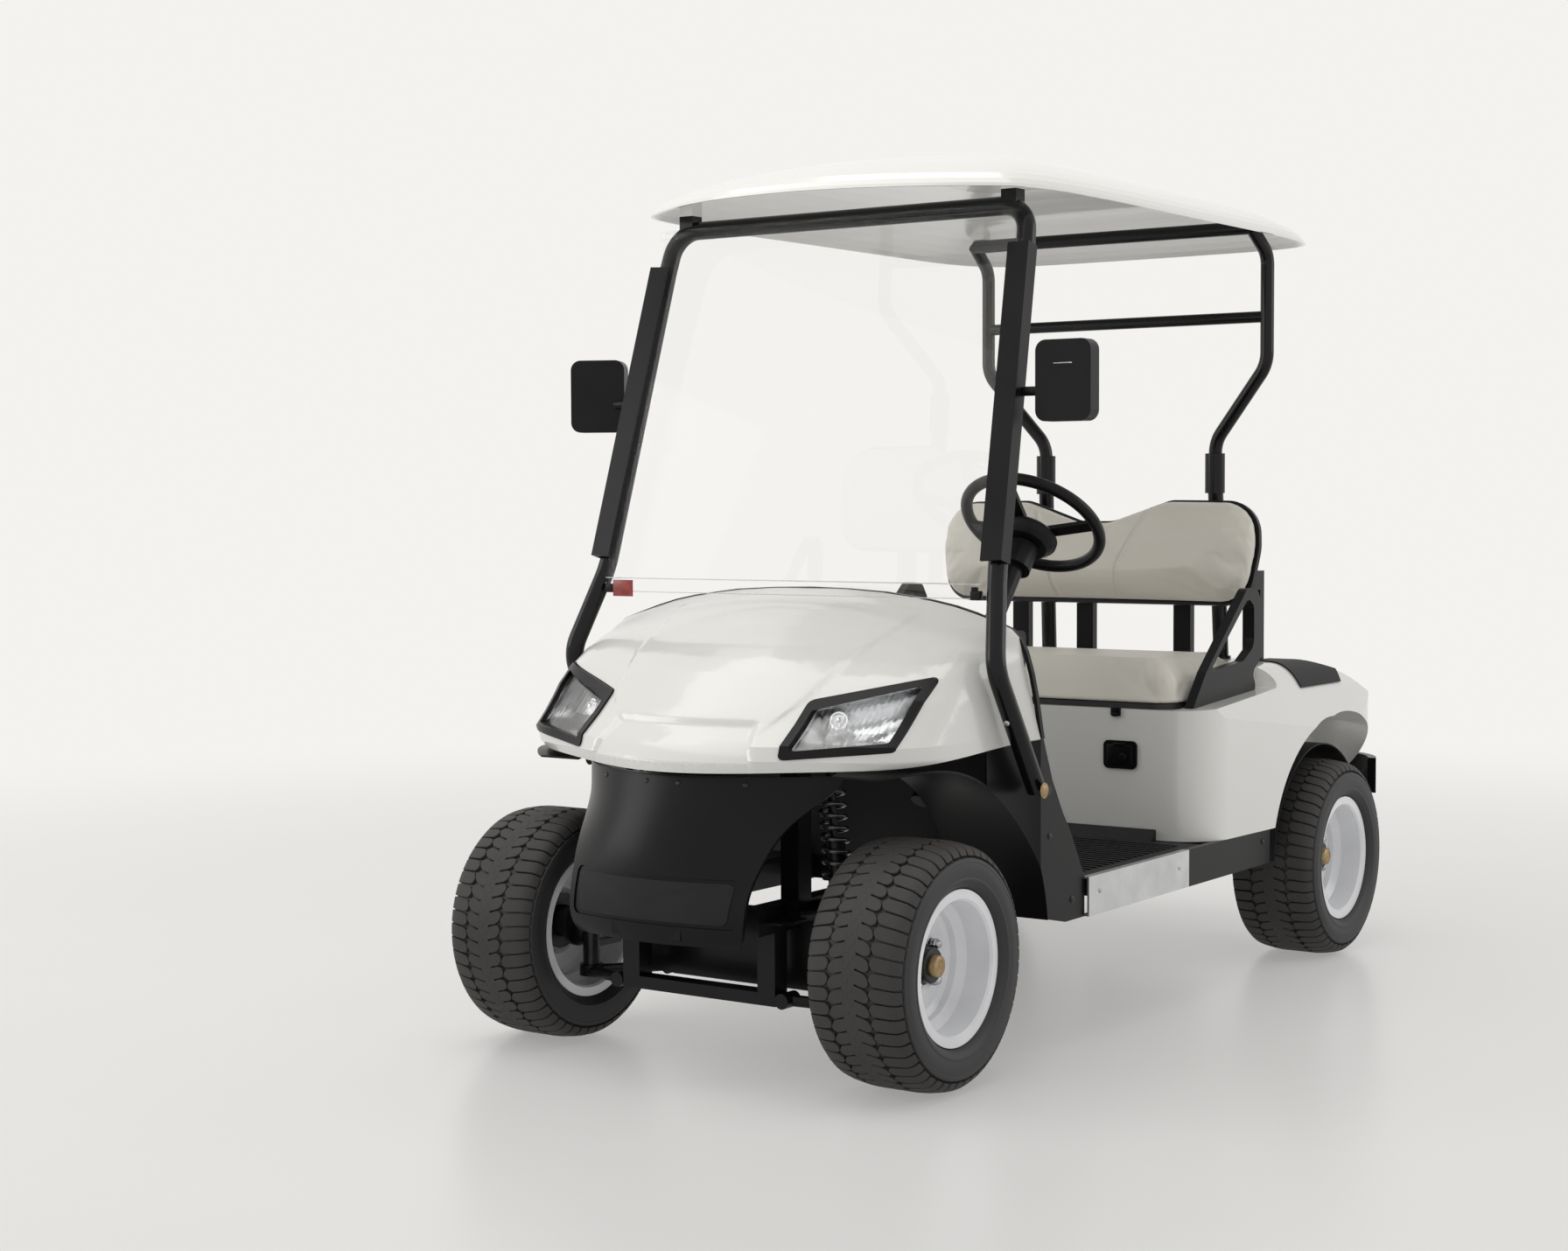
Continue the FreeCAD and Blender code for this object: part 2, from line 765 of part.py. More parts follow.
def make_wheels():
    half_turn = Rotation(Vector(0, 0, 1), 180)
    for end, track, y in (("front", s.front_track, NONE), ("rear", s.rear_track, s.wheelbase)):
        for side, x, rotation in (("left", track / 2, Rotation()), ("right", -track / 2, half_turn)):
            make_tyre(f"tyre_{end}_{side}", x, y)
            make_rim(f"rim_{end}_{side}", x, y, rotation)
            make_hub(f"hub_{end}_{side}", x, y, rotation)


# Steering and front suspension.
def make_knuckles():
    pin_x = s.front_track / 2 - s.kingpin_inset
    reach = s.front_track / 2 + s.spindle_reach - pin_x
    for side, rotation in (("left", Rotation()), ("right", Rotation(Vector(0, 0, 1), 180))):
        flip = 1 if side == "left" else -1
        post = cylinder((NONE, NONE, s.kingpin_low), "z", s.kingpin_radius, s.kingpin_high - s.kingpin_low)
        spindle = cylinder((NONE, NONE, s.tyre_radius), "x", s.spindle_radius, reach)
        plate_x = s.kingpin_inset - s.hub_length + s.hub_nose - s.spindle_flange_wall - s.panel_gap
        plate = cylinder((plate_x, NONE, s.tyre_radius), "x", s.spindle_flange_radius, s.spindle_flange_wall)
        arm_low = s.steer_arm_top - s.steer_arm_wall
        half = s.steer_arm_width / 2
        if flip > 0:
            arm = box((-half, NONE, arm_low), (half, s.steer_arm_length, s.steer_arm_top))
            eye = cylinder((NONE, s.steer_arm_length, arm_low), "z", half, s.steer_arm_wall)
        else:
            arm = box((-half, -s.steer_arm_length, arm_low), (half, NONE, s.steer_arm_top))
            eye = cylinder((NONE, -s.steer_arm_length, arm_low), "z", half, s.steer_arm_wall)
        knuckle = fuse(post, spindle, plate, arm, eye)
        node(f"knuckle_{side}", knuckle, pin_x * flip, NONE, NONE, rotation)


def make_tie_rods():
    pin_x = s.front_track / 2 - s.kingpin_inset
    low = s.steer_arm_top + s.fit_gap
    middle = low + s.rod_eye_height / 2
    bar = cylinder((-pin_x, s.steer_arm_length, middle), "x", s.rod_radius, pin_x * 2)
    eyes = [cylinder((x, s.steer_arm_length, low), "z", s.rod_eye_radius, s.rod_eye_height)
            for x in (pin_x, -pin_x)]
    node("tie_rods", fuse(bar, *eyes))


def wishbone(foot, end_z, pivot_z, spread, tube_radius):
    """Two tubes from pivots on the frame to a round foot plate at the kingpin."""
    pin_x = s.front_track / 2 - s.kingpin_inset
    low, high = foot
    parts = [cylinder((pin_x, NONE, low), "z", s.arm_foot_radius, high - low)]
    for side in (1, -1):
        start = (s.arm_pivot_x, spread * side, pivot_z)
        end = (pin_x, s.arm_tube_radius / 2 * side, end_z)
        parts.append(tube([start, end], tube_radius))
        eye = (s.arm_pivot_x, spread * side - s.arm_eye_length / 2, pivot_z)
        parts.append(cylinder(eye, "y", s.arm_eye_radius, s.arm_eye_length))
    return parts


def make_front_suspension():
    lower_z = s.cross_tube_low + s.cross_tube_height / 2
    lower = (s.kingpin_low - s.fit_gap - s.arm_foot_wall, s.kingpin_low - s.fit_gap)
    upper = (s.kingpin_high + s.fit_gap, s.kingpin_high + s.fit_gap + s.arm_foot_wall)
    upper_z = (s.rail_low + s.rail_high) / 2
    damper_foot = (s.damper_low_x, NONE, s.damper_low_z)
    low = fuse(*wishbone(lower, lower[1] - s.arm_tube_radius * 1.25, lower_z, s.arm_spread,
                         s.arm_tube_radius))
    lug_low = (s.damper_low_x - s.damper_radius, -s.damper_radius, upper_z)
    lug_high = (s.front_track / 2 - s.kingpin_inset - s.arm_foot_radius * 0.85, s.damper_radius, upper[1])
    lug = box(lug_low, lug_high)
    seat = cylinder((s.damper_low_x, -s.damper_radius, s.damper_low_z - s.damper_radius), "y",
                    s.damper_radius, s.damper_radius * 2)
    arms = wishbone(upper, upper[0] + s.arm_tube_radius * 1.4, upper_z, s.upper_arm_spread,
                    s.arm_tube_radius * 0.9)
    high = fuse(*arms, lug, seat)
    damper_top = (s.damper_top_x, NONE, s.damper_top_z - s.panel_gap)
    share = (float(s.spring_high) - float(s.damper_low_z)) / (float(s.damper_top_z) - float(s.damper_low_z))
    middle = (s.damper_low_x + (s.damper_top_x - s.damper_low_x) * share * 0.5, NONE,
              s.damper_low_z + (s.damper_top_z - s.damper_low_z) * share * 0.5)
    barrel = tube([damper_foot, middle], s.damper_radius)
    rod = tube([middle, damper_top], s.damper_rod_radius)
    strut = fuse(high, barrel, rod)
    node("front_suspension", both_sides(low, strut))


def make_front_springs():
    """A coil reads as a stack of rounded turns on a tube."""
    low = Vector(float(s.damper_low_x), 0, float(s.damper_low_z))
    top = Vector(float(s.damper_top_x), 0, float(s.damper_top_z))
    direction = (top - low).normalize()
    start = low + direction * ((float(s.spring_low) - low.z) / direction.z)
    length = (float(s.spring_high) - float(s.spring_low)) / direction.z
    bore = float(s.damper_radius) + float(s.fit_gap)
    outer = float(s.spring_radius)
    turns = 7
    pitch = length / turns
    valley = outer - float(s.spring_wire) * 0.7
    profile = [Vector(bore, 0, 0), Vector(outer, 0, 0)]
    for turn in range(turns):
        profile.append(Vector(outer, 0, pitch * (turn + 0.45)))
        profile.append(Vector(valley, 0, pitch * (turn + 0.55)))
        profile.append(Vector(valley, 0, pitch * (turn + 0.9)))
        profile.append(Vector(outer, 0, pitch * (turn + 1)))
    profile.append(Vector(bore, 0, length))
    face = Part.Face(Part.makePolygon(profile + profile[:1]))
    spring = face.revolve(Vector(0, 0, 0), Vector(0, 0, 1), 360)
    spring.Placement = Placement(start, Rotation(Vector(0, 0, 1), direction))
    node("front_springs", both_sides(shaped(spring)))


# Frame.
def make_chassis_frame():
    half = s.rail_width / 2
    inner = s.rail_x - half
    outer = s.rail_x + half
    parts = []
    for side in (1, -1):
        low_x, high_x = (inner, outer) if side > 0 else (-outer, -inner)
        parts.append(box((low_x, s.rail_front, s.rail_low), (high_x, s.rail_rear, s.rail_high)))
        for spread in (s.arm_spread, -s.arm_spread):
            parts.append(box((low_x, spread - half, s.cross_tube_low), (high_x, spread + half, s.rail_low)))
        post_high = s.damper_top_z + s.tower_wall
        parts.append(box((low_x, -s.tower_width / 2, s.rail_high), (high_x, s.tower_width / 2, post_high)))
        plate_end = s.damper_top_x + s.tower_width / 2
        low_x, high_x = (s.rail_x, plate_end) if side > 0 else (-plate_end, -s.rail_x)
        parts.append(box((low_x, -s.tower_width / 2, s.damper_top_z), (high_x, s.tower_width / 2, post_high)))
    for spread in (s.arm_spread, -s.arm_spread):
        parts.append(box((-inner, spread - half, s.cross_tube_low),
                         (inner, spread + half, s.cross_tube_low + s.cross_tube_height)))
    for y in (s.rail_front, s.floor_front, s.body_front, s.bay_rear, s.rail_rear - s.rail_width):
        parts.append(box((-inner, y, s.rail_low), (inner, y + s.rail_width, s.rail_high)))
    tray_z = s.rail_high
    parts.append(box((-s.battery_half_width, s.battery_front, tray_z),
                     (s.battery_half_width, s.battery_rear, tray_z + s.tower_wall)))
    side_x = s.body_half_width - s.sill_wall - s.panel_gap * 2
    for y in (s.floor_front + s.rail_width, s.sill_joint, s.body_front + s.rail_width * 2):
        for low_x, high_x in ((outer, side_x), (-side_x, -outer)):
            parts.append(box((low_x, y, s.rail_high - s.outrigger_height),
                             (high_x, y + s.rail_width, s.rail_high)))
    leaf_high = s.leaf_eye_z + s.leaf_eye_radius + s.fit_gap
    for y in (s.leaf_front_y, s.leaf_rear_y):
        for low_x, high_x in ((outer, s.leaf_x + s.leaf_width / 2), (-s.leaf_x - s.leaf_width / 2, -outer)):
            parts.append(box((low_x, y - half, leaf_high), (high_x, y + half, leaf_high + s.tower_wall * 2)))
    rod_z = s.steer_arm_top + s.fit_gap + s.rod_eye_height / 2
    passage = cylinder((-outer - s.overrun, s.steer_arm_length, rod_z), "x", s.rod_radius + s.rod_clearance,
                       (outer + s.overrun) * 2)
    node("chassis_frame", cut(fuse(*parts), passage))
    housing = cylinder((-s.rack_length / 2, s.steer_arm_length,
                        s.steer_arm_top + s.fit_gap + s.rod_eye_height / 2),
                       "x", s.rack_radius, s.rack_length)
    bore = cylinder((-s.rack_length / 2 - s.overrun, s.steer_arm_length,
                     s.steer_arm_top + s.fit_gap + s.rod_eye_height / 2),
                    "x", s.rod_radius + s.rack_bore_gap, s.rack_length + s.overrun * 2)
    stand_low = s.cross_tube_low + s.cross_tube_height
    stand_high = s.steer_arm_top + s.rod_eye_height / 2 - s.rod_radius - s.panel_gap * 2
    stands = [box((x - half, s.arm_spread - half, stand_low), (x + half, s.arm_spread + half, stand_high))
              for x in (s.rack_length / 4, -s.rack_length / 4)]
    node("rack_housing", cut(fuse(housing, *stands), bore))


def make_rear_axle():
    drum_x = s.rear_track / 2 - s.hub_length + s.hub_nose - s.panel_gap
    parts = [cylinder((-drum_x, s.wheelbase, s.tyre_radius), "x", s.axle_radius, drum_x * 2)]
    reach = s.rear_track / 2 + s.spindle_reach
    parts.append(cylinder((-reach, s.wheelbase, s.tyre_radius), "x", s.spindle_radius, reach * 2))
    for x in (drum_x - s.drum_width, -drum_x):
        parts.append(cylinder((x, s.wheelbase, s.tyre_radius), "x", s.drum_radius, s.drum_width))
    case_x = s.gearcase_x - s.gearcase_width / 2
    parts.append(cylinder((case_x, s.wheelbase, s.tyre_radius), "x", s.gearcase_radius * 0.82,
                          s.gearcase_width))
    motor_x = case_x - s.motor_length
    motor_y = s.wheelbase + s.motor_radius * 0.9
    parts.append(cylinder((motor_x, motor_y, s.tyre_radius), "x", s.motor_radius,
                          s.motor_length + s.gearcase_width))
    for x in (s.leaf_x, -s.leaf_x):
        parts.append(box((x - s.leaf_width / 2, s.wheelbase - s.axle_radius, s.tyre_radius),
                         (x + s.leaf_width / 2, s.wheelbase + s.axle_radius, s.tyre_radius + s.axle_radius)))
    node("rear_axle", fuse(*parts))


def make_rear_springs():
    """A leaf spring each side, arched from eye to eye over the axle."""
    seat = s.tyre_radius + s.axle_radius
    low_x = s.leaf_x - s.leaf_width / 2
    front = Vector(0, float(s.leaf_front_y), float(s.leaf_eye_z))
    rear = Vector(0, float(s.leaf_rear_y), float(s.leaf_eye_z))
    middle = Vector(0, float(s.wheelbase), float(seat + s.leaf_wall / 2 + s.fit_gap))
    leaf = Part.Arc(front, middle, rear).toShape()
    band = leaf.extrude(Vector(float(s.leaf_width), 0, 0)).translated(Vector(float(low_x), 0, 0))
    blade = band.makeOffsetShape(float(s.leaf_wall) / 2, 0.01, fill=True)
    other = band.makeOffsetShape(-float(s.leaf_wall) / 2, 0.01, fill=True)
    eyes = [cylinder((low_x, y, s.leaf_eye_z), "x", s.leaf_eye_radius, s.leaf_width)
            for y in (s.leaf_front_y, s.leaf_rear_y)]
    node("rear_springs", both_sides(fuse(shaped(blade.fuse(other)), *eyes)))


# Floor.
def make_floor():
    low = s.floor_top - s.floor_wall
    slope_y = s.toe_top_y
    corners = sharp([(s.floor_rear, low), (s.floor_rear, s.floor_top), (s.floor_front, s.floor_top),
                     (slope_y, s.toe_top_z), (slope_y - s.floor_wall, s.toe_top_z - s.floor_wall / 2),
                     (s.floor_front - s.floor_wall, low)])
    pan = prism("x", corners, -s.floor_half_width, s.floor_half_width)
    column = column_bar(s.column_radius + s.fit_gap, s.column_length * 2)
    ribs = []
    rib = s.floor_front + s.floor_rib_pitch
    while float(rib) < float(s.body_front - s.floor_rib_pitch * 2):
        ribs.append(box((-s.floor_half_width + s.floor_rib_pitch, rib, s.floor_top),
                        (s.floor_half_width - s.floor_rib_pitch, rib + s.floor_rib_width,
                         s.floor_top + s.floor_rib_height)))
        rib = rib + s.floor_rib_pitch
    kick = prism("x", sharp([(s.floor_rear, s.floor_top), (s.floor_rear, s.body_low + s.latch_height * 2),
                             (s.floor_rear - s.floor_wall, s.body_low + s.latch_height * 2),
                             (s.floor_rear - s.floor_wall * 4, s.floor_top)]),
                 -s.floor_half_width + s.body_front_corner, s.floor_half_width - s.body_front_corner)
    node("floor_pan", cut(fuse(pan, kick, *ribs), column))


def axis_point(distance):
    """A point below the steering wheel's centre along its column."""
    tilt = math.hypot(float(s.wheel_tilt_rise), float(s.wheel_tilt_run))
    down = round(float(s.wheel_tilt_rise) / tilt, 6)
    back = round(float(s.wheel_tilt_run) / tilt, 6)
    return (s.wheel_x, s.wheel_y - distance * back, s.wheel_z - distance * down)


def column_turn():
    """The turn that lays Z along the steering column, up towards the driver."""
    return Rotation(Vector(0, 0, 1), Vector(0, float(s.wheel_tilt_run), float(s.wheel_tilt_rise)))


def column_bar(radius, length, start=None):
    """A bar on the column's axis from a distance below the wheel."""
    feature = doc.addObject("Part::Cylinder", "bar")
    bind(feature, Radius=radius, Height=length)
    end = (start or NONE) + length
    return settle(feature, *axis_point(end), column_turn())


def make_steering():
    head = s.wheel_dish + s.wheel_hub_height + s.column_gap
    jacket = column_bar(s.column_radius, s.column_length, head)
    crown = column_bar(s.column_head_radius, s.column_head_length, head)
    bore = column_bar(s.shaft_radius + s.fit_gap, s.shaft_length + s.panel_gap + s.fit_gap,
                      head - s.panel_gap)
    flange = column_bar(s.column_head_radius, s.floor_wall,
                        head + s.column_length - s.column_head_radius * 1.9)
    node("steering_column", cut(fuse(jacket, crown, flange), bore))
    turn = column_turn()
    rim = torus((s.wheel_x, s.wheel_y, s.wheel_z), s.wheel_rim_radius, s.wheel_tube_radius, turn)
    hub = column_bar(s.wheel_hub_radius, s.wheel_hub_height, s.wheel_dish)
    shaft = column_bar(s.shaft_radius, s.shaft_length + s.column_gap, s.wheel_dish + s.wheel_hub_height)
    spokes = []
    for angle in (0, 180, 270):
        blade = doc.addObject("Part::Box", "spoke")
        bind(blade, Length=s.wheel_rim_radius, Width=s.wheel_spoke_width, Height=s.wheel_spoke_wall)
        tilt = Rotation(Vector(0, 1, 0), -math.degrees(math.atan2(float(s.wheel_dish),
                                                                  float(s.wheel_rim_radius))))
        spin = Rotation(Vector(0, 0, 1), angle)
        whole = turn.multiply(spin).multiply(tilt)
        corner = whole.multVec(Vector(0, -float(s.wheel_spoke_width) / 2, 0))
        base = axis_point(s.wheel_dish + s.wheel_spoke_wall)
        blade.Placement = Placement(Vector(*[float(value) for value in base]) + corner, whole)
        spokes.append(blade)
    node("steering_wheel", fuse(rim, hub, shaft, *spokes))


def make_pedals():
    """Two hanging pedals on arms from the toe board."""
    run = float(s.toe_top_z - s.floor_top)
    slope = float(s.floor_front - s.toe_top_y) / run
    parts = []
    for x, height_share in ((s.brake_pedal_x, 0.62), (s.drive_pedal_x, 0.34)):
        pad_z = s.floor_top + (s.toe_top_z - s.floor_top) * height_share
        pad_y = s.floor_front - (pad_z - s.floor_top) * slope + s.pedal_width
        pad = box((x - s.pedal_width / 2, pad_y, pad_z - s.pedal_height / 2),
                  (x + s.pedal_width / 2, pad_y + s.pedal_wall, pad_z + s.pedal_height / 2))
        root_y = s.floor_front - (pad_z - s.floor_top) * slope + s.pedal_arm_radius * 0.68
        arm = cylinder((x, root_y, pad_z), "y", s.pedal_arm_radius, pad_y - root_y + s.pedal_wall / 2)
        parts.append(fuse(pad, arm))
    node("pedals", group(*parts))


# Cowl.
def cowl_outline(shares, z, inset):
    """The cowl's plan at one level: a bowed front, rounded corners and a straight back."""
    half = float(s.cowl_half_width)
    run = float(s.cowl_nose)
    _, nose, across, along, edge_across, edge_along, side = shares
    back = float(s.cowl_side_foot_y)
    front = run * nose + inset
    corner = Vector(half * across - inset * CORNER_SHARE, run * along + inset * CORNER_SHARE, z)
    edge = Vector(half * edge_across - inset * 0.85, run * edge_along + inset * 0.45, z)
    reach = corner.y - front
    last = Vector(half * side - inset, back, z)
    right = [Vector(0, front, z)]
    right += [Vector(corner.x * out, front + reach * back_share, z) for out, back_share in BOW_SHARES]
    right += [corner, edge, last]
    left = [Vector(-point.x, point.y, z) for point in reversed(right[1:])]
    curve = Part.BSplineCurve()
    curve.interpolate(left + right)
    end = back + half
    edges = [curve.toShape(), Part.makeLine(last, Vector(last.x, end, z)),
             Part.makeLine(Vector(last.x, end, z), Vector(-last.x, end, z)),
             Part.makeLine(Vector(-last.x, end, z), left[0])]
    return Part.Wire(edges)


def dome(inset):
    """The cowl's whole form, set in by an amount."""
    height = float(s.cowl_height - s.cowl_lip_z)
    sections = []
    for shares in COWL_LEVEL_SHARES:
        z = float(s.cowl_lip_z) + height * shares[0] - float(inset)
        sections.append(cowl_outline(shares, z, float(inset)))
    return Part.makeLoft(sections, True, True)


def skirt(inset, low, high):
    """The cowl's plan at its belt carried down, set in by an amount."""
    face = Part.Face(cowl_outline(COWL_LEVEL_SHARES[COWL_BELT], float(low), float(inset)))
    return face.extrude(Vector(0, 0, float(high - low)))


def side_prism(points, half_width):
    """A plate across the cart with a side view outline."""
    wire = Part.makePolygon([Vector(-half_width, float(y), float(z)) for y, z in points + points[:1]])
    return Part.Face(wire).extrude(Vector(half_width * 2, 0, 0))


def cowl_edge():
    """The cowl's rear edge from its crest to the foot of its side."""
    height = float(s.cowl_height - s.cowl_lip_z)
    return [Vector(float(s.cowl_half_width) * across, float(s.cowl_nose) * along,
                   float(s.cowl_lip_z) + height * up)
            for up, across, along in COWL_EDGE_SHARES]


def cowl_side_view(back, top):
    """The side view that the cowl is cut to: its raked lip and its rear edge."""
    front = -s.cowl_nose - s.overrun
    lip_z = s.cowl_lip_z - s.cowl_lip_rise * 0.14
    corners = [(float(front), float(top)), (float(front), float(lip_z))]
    corners += [(point.y + float(back), point.z) for point in reversed(cowl_edge())]
    corners.append((float(s.cowl_rear + back), float(top)))
    return corners


def make_cowl_trim():
    """A rubber strip behind the cowl's rear edge, from foot to foot."""
    path = cowl_edge()
    path = [Vector(-point.x, point.y, point.z) for point in reversed(path[1:])] + path
    wall = float(s.panel_wall)
    proud = float(s.cowl_trim_height) / 2
    near = float(s.fit_gap) * 2
    far = near + float(s.cowl_trim_width)
    sections = []
    for i, point in enumerate(path):
        run = path[min(i + 1, len(path) - 1)] - path[max(i - 1, 0)]
        outward = Vector(-run.z, 0, run.x).normalize()
        high = point + outward * proud
        low = point - outward * wall
        corners = [high + Vector(0, near, 0), high + Vector(0, far, 0)]
        corners += [low + Vector(0, far, 0), low + Vector(0, near, 0)]
        sections.append(Part.makePolygon(corners + corners[:1]))
    node("cowl_trim", shaped(Part.makeLoft(sections, True, True)))


def lamp_corners(grow):
    """The headlamp's outline at its shares of the cowl's height, grown outwards by an amount."""
    grow = float(grow)
    height = float(s.cowl_height - s.cowl_lip_z)
    inner_low, outer_low, outer_high, inner_high = (float(s.cowl_lip_z) + height * share
                                                    for share in LAMP_HEIGHT_SHARES)
    return [(float(s.lamp_inner_x) - grow, inner_low - grow),
            (float(s.lamp_bottom_x) + grow * CORNER_SHARE, outer_low - grow),
            (float(s.lamp_outer_x) + grow, outer_high + grow),
            (float(s.lamp_inner_x) - grow, inner_high + grow)]


def lamp_prism(grow, side):
    """The headlamp's outline run through the cowl from front to back."""
    front = -float(s.cowl_nose) - float(s.overrun)
    points = lamp_corners(grow)
    count = len(points)
    radius = max(float(s.lamp_corner) + float(grow), float(s.lamp_corner) / 2)
    edges = []
    arcs = [corner_arc((*points[i - 1], 0), (*points[i], radius), (*points[(i + 1) % count], 0))
            for i in range(count)]
    for i, (start, end, centre, _, _) in enumerate(arcs):
        corner = Vector(points[i][0], 0, points[i][1])
        middle = Vector(centre[0], 0, centre[1])
        bulge = middle + (corner - middle).normalize() * radius
        first = Vector(start[0], 0, start[1])
        last = Vector(end[0], 0, end[1])
        edges.append(Part.Arc(first, bulge, last).toShape())
        follow = arcs[(i + 1) % count][0]
        edges.append(Part.makeLine(last, Vector(follow[0], 0, follow[1])))
    face = Part.Face(Part.Wire(edges)).translated(Vector(0, front, 0))
    solid = face.extrude(Vector(0, float(s.cowl_side_foot_y) - front, 0))
    return solid if side > 0 else solid.mirror(Vector(0, 0, 0), Vector(1, 0, 0))


def make_cowl():
    half = float(s.cowl_half_width) + float(s.overrun)
    top = s.cowl_height + s.overrun
    outer = dome(0)
    inner = dome(s.panel_wall)
    view = side_prism(cowl_side_view(NONE, top), half)
    openings = [lamp_prism(s.panel_gap, side) for side in (1, -1)]
    skin = outer.cut(inner).common(view)
    node("front_cowl", shaped(skin.cut(openings[0]).cut(openings[1])))
    make_cowl_trim()
    lens_low = dome(s.lamp_lens_sink)
    lens = lens_low.cut(dome(s.lamp_lens_sink + s.lamp_depth))
    ring = dome(-float(s.lamp_bezel_stand)).cut(dome(s.lamp_bezel_depth - s.lamp_bezel_stand))
    bezels = []
    lamps = []
    for side in (1, -1):
        hole = lamp_prism(-s.lamp_bezel_width, side)
        bezels.append(shaped(ring.common(lamp_prism(0, side)).cut(hole)))
        lamps.append(shaped(lens.common(lamp_prism(-s.lamp_bezel_width - s.fit_gap, side))))
    node("headlamp_bezels", group(*bezels))
    node("headlamps", group(*lamps))


def make_dashboard():
    """A moulded dash under the cowl's rear edge, seated on the toe board's top."""
    front = s.cowl_rear + s.cowl_trim_width + s.fit_gap * 3
    drop = s.cowl_height - s.cowl_side_foot_z
    back = front + drop * 0.44
    high = s.cowl_height - drop * 0.26
    low = s.toe_top_z + s.fit_gap
    soft = s.dash_corner
    seat_y = s.toe_top_y - s.floor_wall
    points = [(front, high, NONE), (back, high - drop * 0.03, soft), (back, high - drop * 0.22, soft),
              (back - drop * 0.10, low + drop * 0.16, soft), (seat_y + s.floor_wall * 3, low, NONE),
              (seat_y, low, NONE), (front, low + drop * 0.16, NONE)]
    half = s.dash_half_width
    node("dashboard", prism("x", points, -half, half))


# Aprons, bumper and sills.
def arch_curve(radius, x, angles, centre_y, centre_z):
    """An arc in side view about a wheel's axle."""
    places = []
    for angle in angles:
        turn = math.radians(angle)
        places.append(Vector(x, centre_y + radius * math.cos(turn), centre_z + radius * math.sin(turn)))
    return Part.Arc(*places).toShape()


def make_aprons():
    """The black side panels behind the front wheels, with the arch liner turned in over the tyre."""
    far = float(s.cowl_half_width) * 2
    wall = float(s.moulding_wall)
    axle = float(s.tyre_radius)
    radius = float(s.arch_radius)
    low = math.degrees(math.asin((float(s.apron_low) - axle) / radius))
    start = 62
    high = 104
    arch = arch_curve(radius, far, (start, (start + low) / 2, low), 0, axle)
    top = arch.Vertexes[0].Point
    corner = arch.Vertexes[-1].Point
    foot_y = float(s.cowl_side_foot_y)
    foot_z = float(s.cowl_side_foot_z) - float(s.panel_gap)
    rear = float(s.apron_rear_y)
    floor = float(s.floor_top)
    sill = float(s.sill_low)
    lip_z = foot_z - (foot_y - top.y) * float(s.cowl_lip_rise) / float(s.cowl_lip_run) - float(s.panel_gap)
    rest = [corner, Vector(far, rear - (floor - sill), sill), Vector(far, rear, sill), Vector(far, rear,
                                                                                              floor),
            Vector(far, foot_y + (rear - foot_y) * 0.66, foot_z - (foot_z - floor) * 0.65),
            Vector(far, foot_y + (rear - foot_y) * 0.34, foot_z - (foot_z - floor) * 0.40),
            Vector(far, foot_y + float(s.cowl_trim_width), foot_z), Vector(far, top.y, lip_z), top]
    lines = [Part.makeLine(rest[i], rest[i + 1]) for i in range(len(rest) - 1)]
    plate = Part.Face(Part.Wire([arch] + lines)).extrude(Vector(-far, 0, 0))
    outside = skirt(0, s.sill_low, s.cowl_height)
    inside = skirt(wall, s.sill_low, s.cowl_height)
    side = plate.common(outside).cut(inside)
    sweep = arch_curve(radius, far, (high, (high + low) / 2, low), 0, axle)
    under = arch_curve(radius - wall, far, (high, (high + low) / 2, low), 0, axle)
    ends = [Part.makeLine(sweep.Vertexes[-1].Point, under.Vertexes[-1].Point),
            Part.makeLine(under.Vertexes[0].Point, sweep.Vertexes[0].Point)]
    band = Part.Face(Part.Wire([sweep, ends[0], under, ends[1]]))
    liner = band.extrude(Vector(float(s.apron_liner_inner_x) - far, 0, 0)).common(outside)
    half_space = Part.makeBox(far, far * 2, far, Vector(0, -far, 0))
    node("front_aprons", both_sides(shaped(side.fuse(liner).common(half_space))))


def bow(half, nose, corner, z, wall):
    """A bowed strip in plan with a wall."""
    outer = Part.Arc(Vector(half, -corner, z), Vector(0, -nose, z), Vector(-half, -corner, z)).toShape()
    ends = (Vector(-half, -corner + wall, z), Vector(half, -corner + wall, z))
    inner = Part.Arc(ends[0], Vector(0, -nose + wall, z), ends[1]).toShape()
    left = Part.makeLine(Vector(-half, -corner, z), Vector(-half, -corner + wall, z))
    right = Part.makeLine(Vector(half, -corner + wall, z), Vector(half, -corner, z))
    return Part.Wire([outer, left, inner, right])


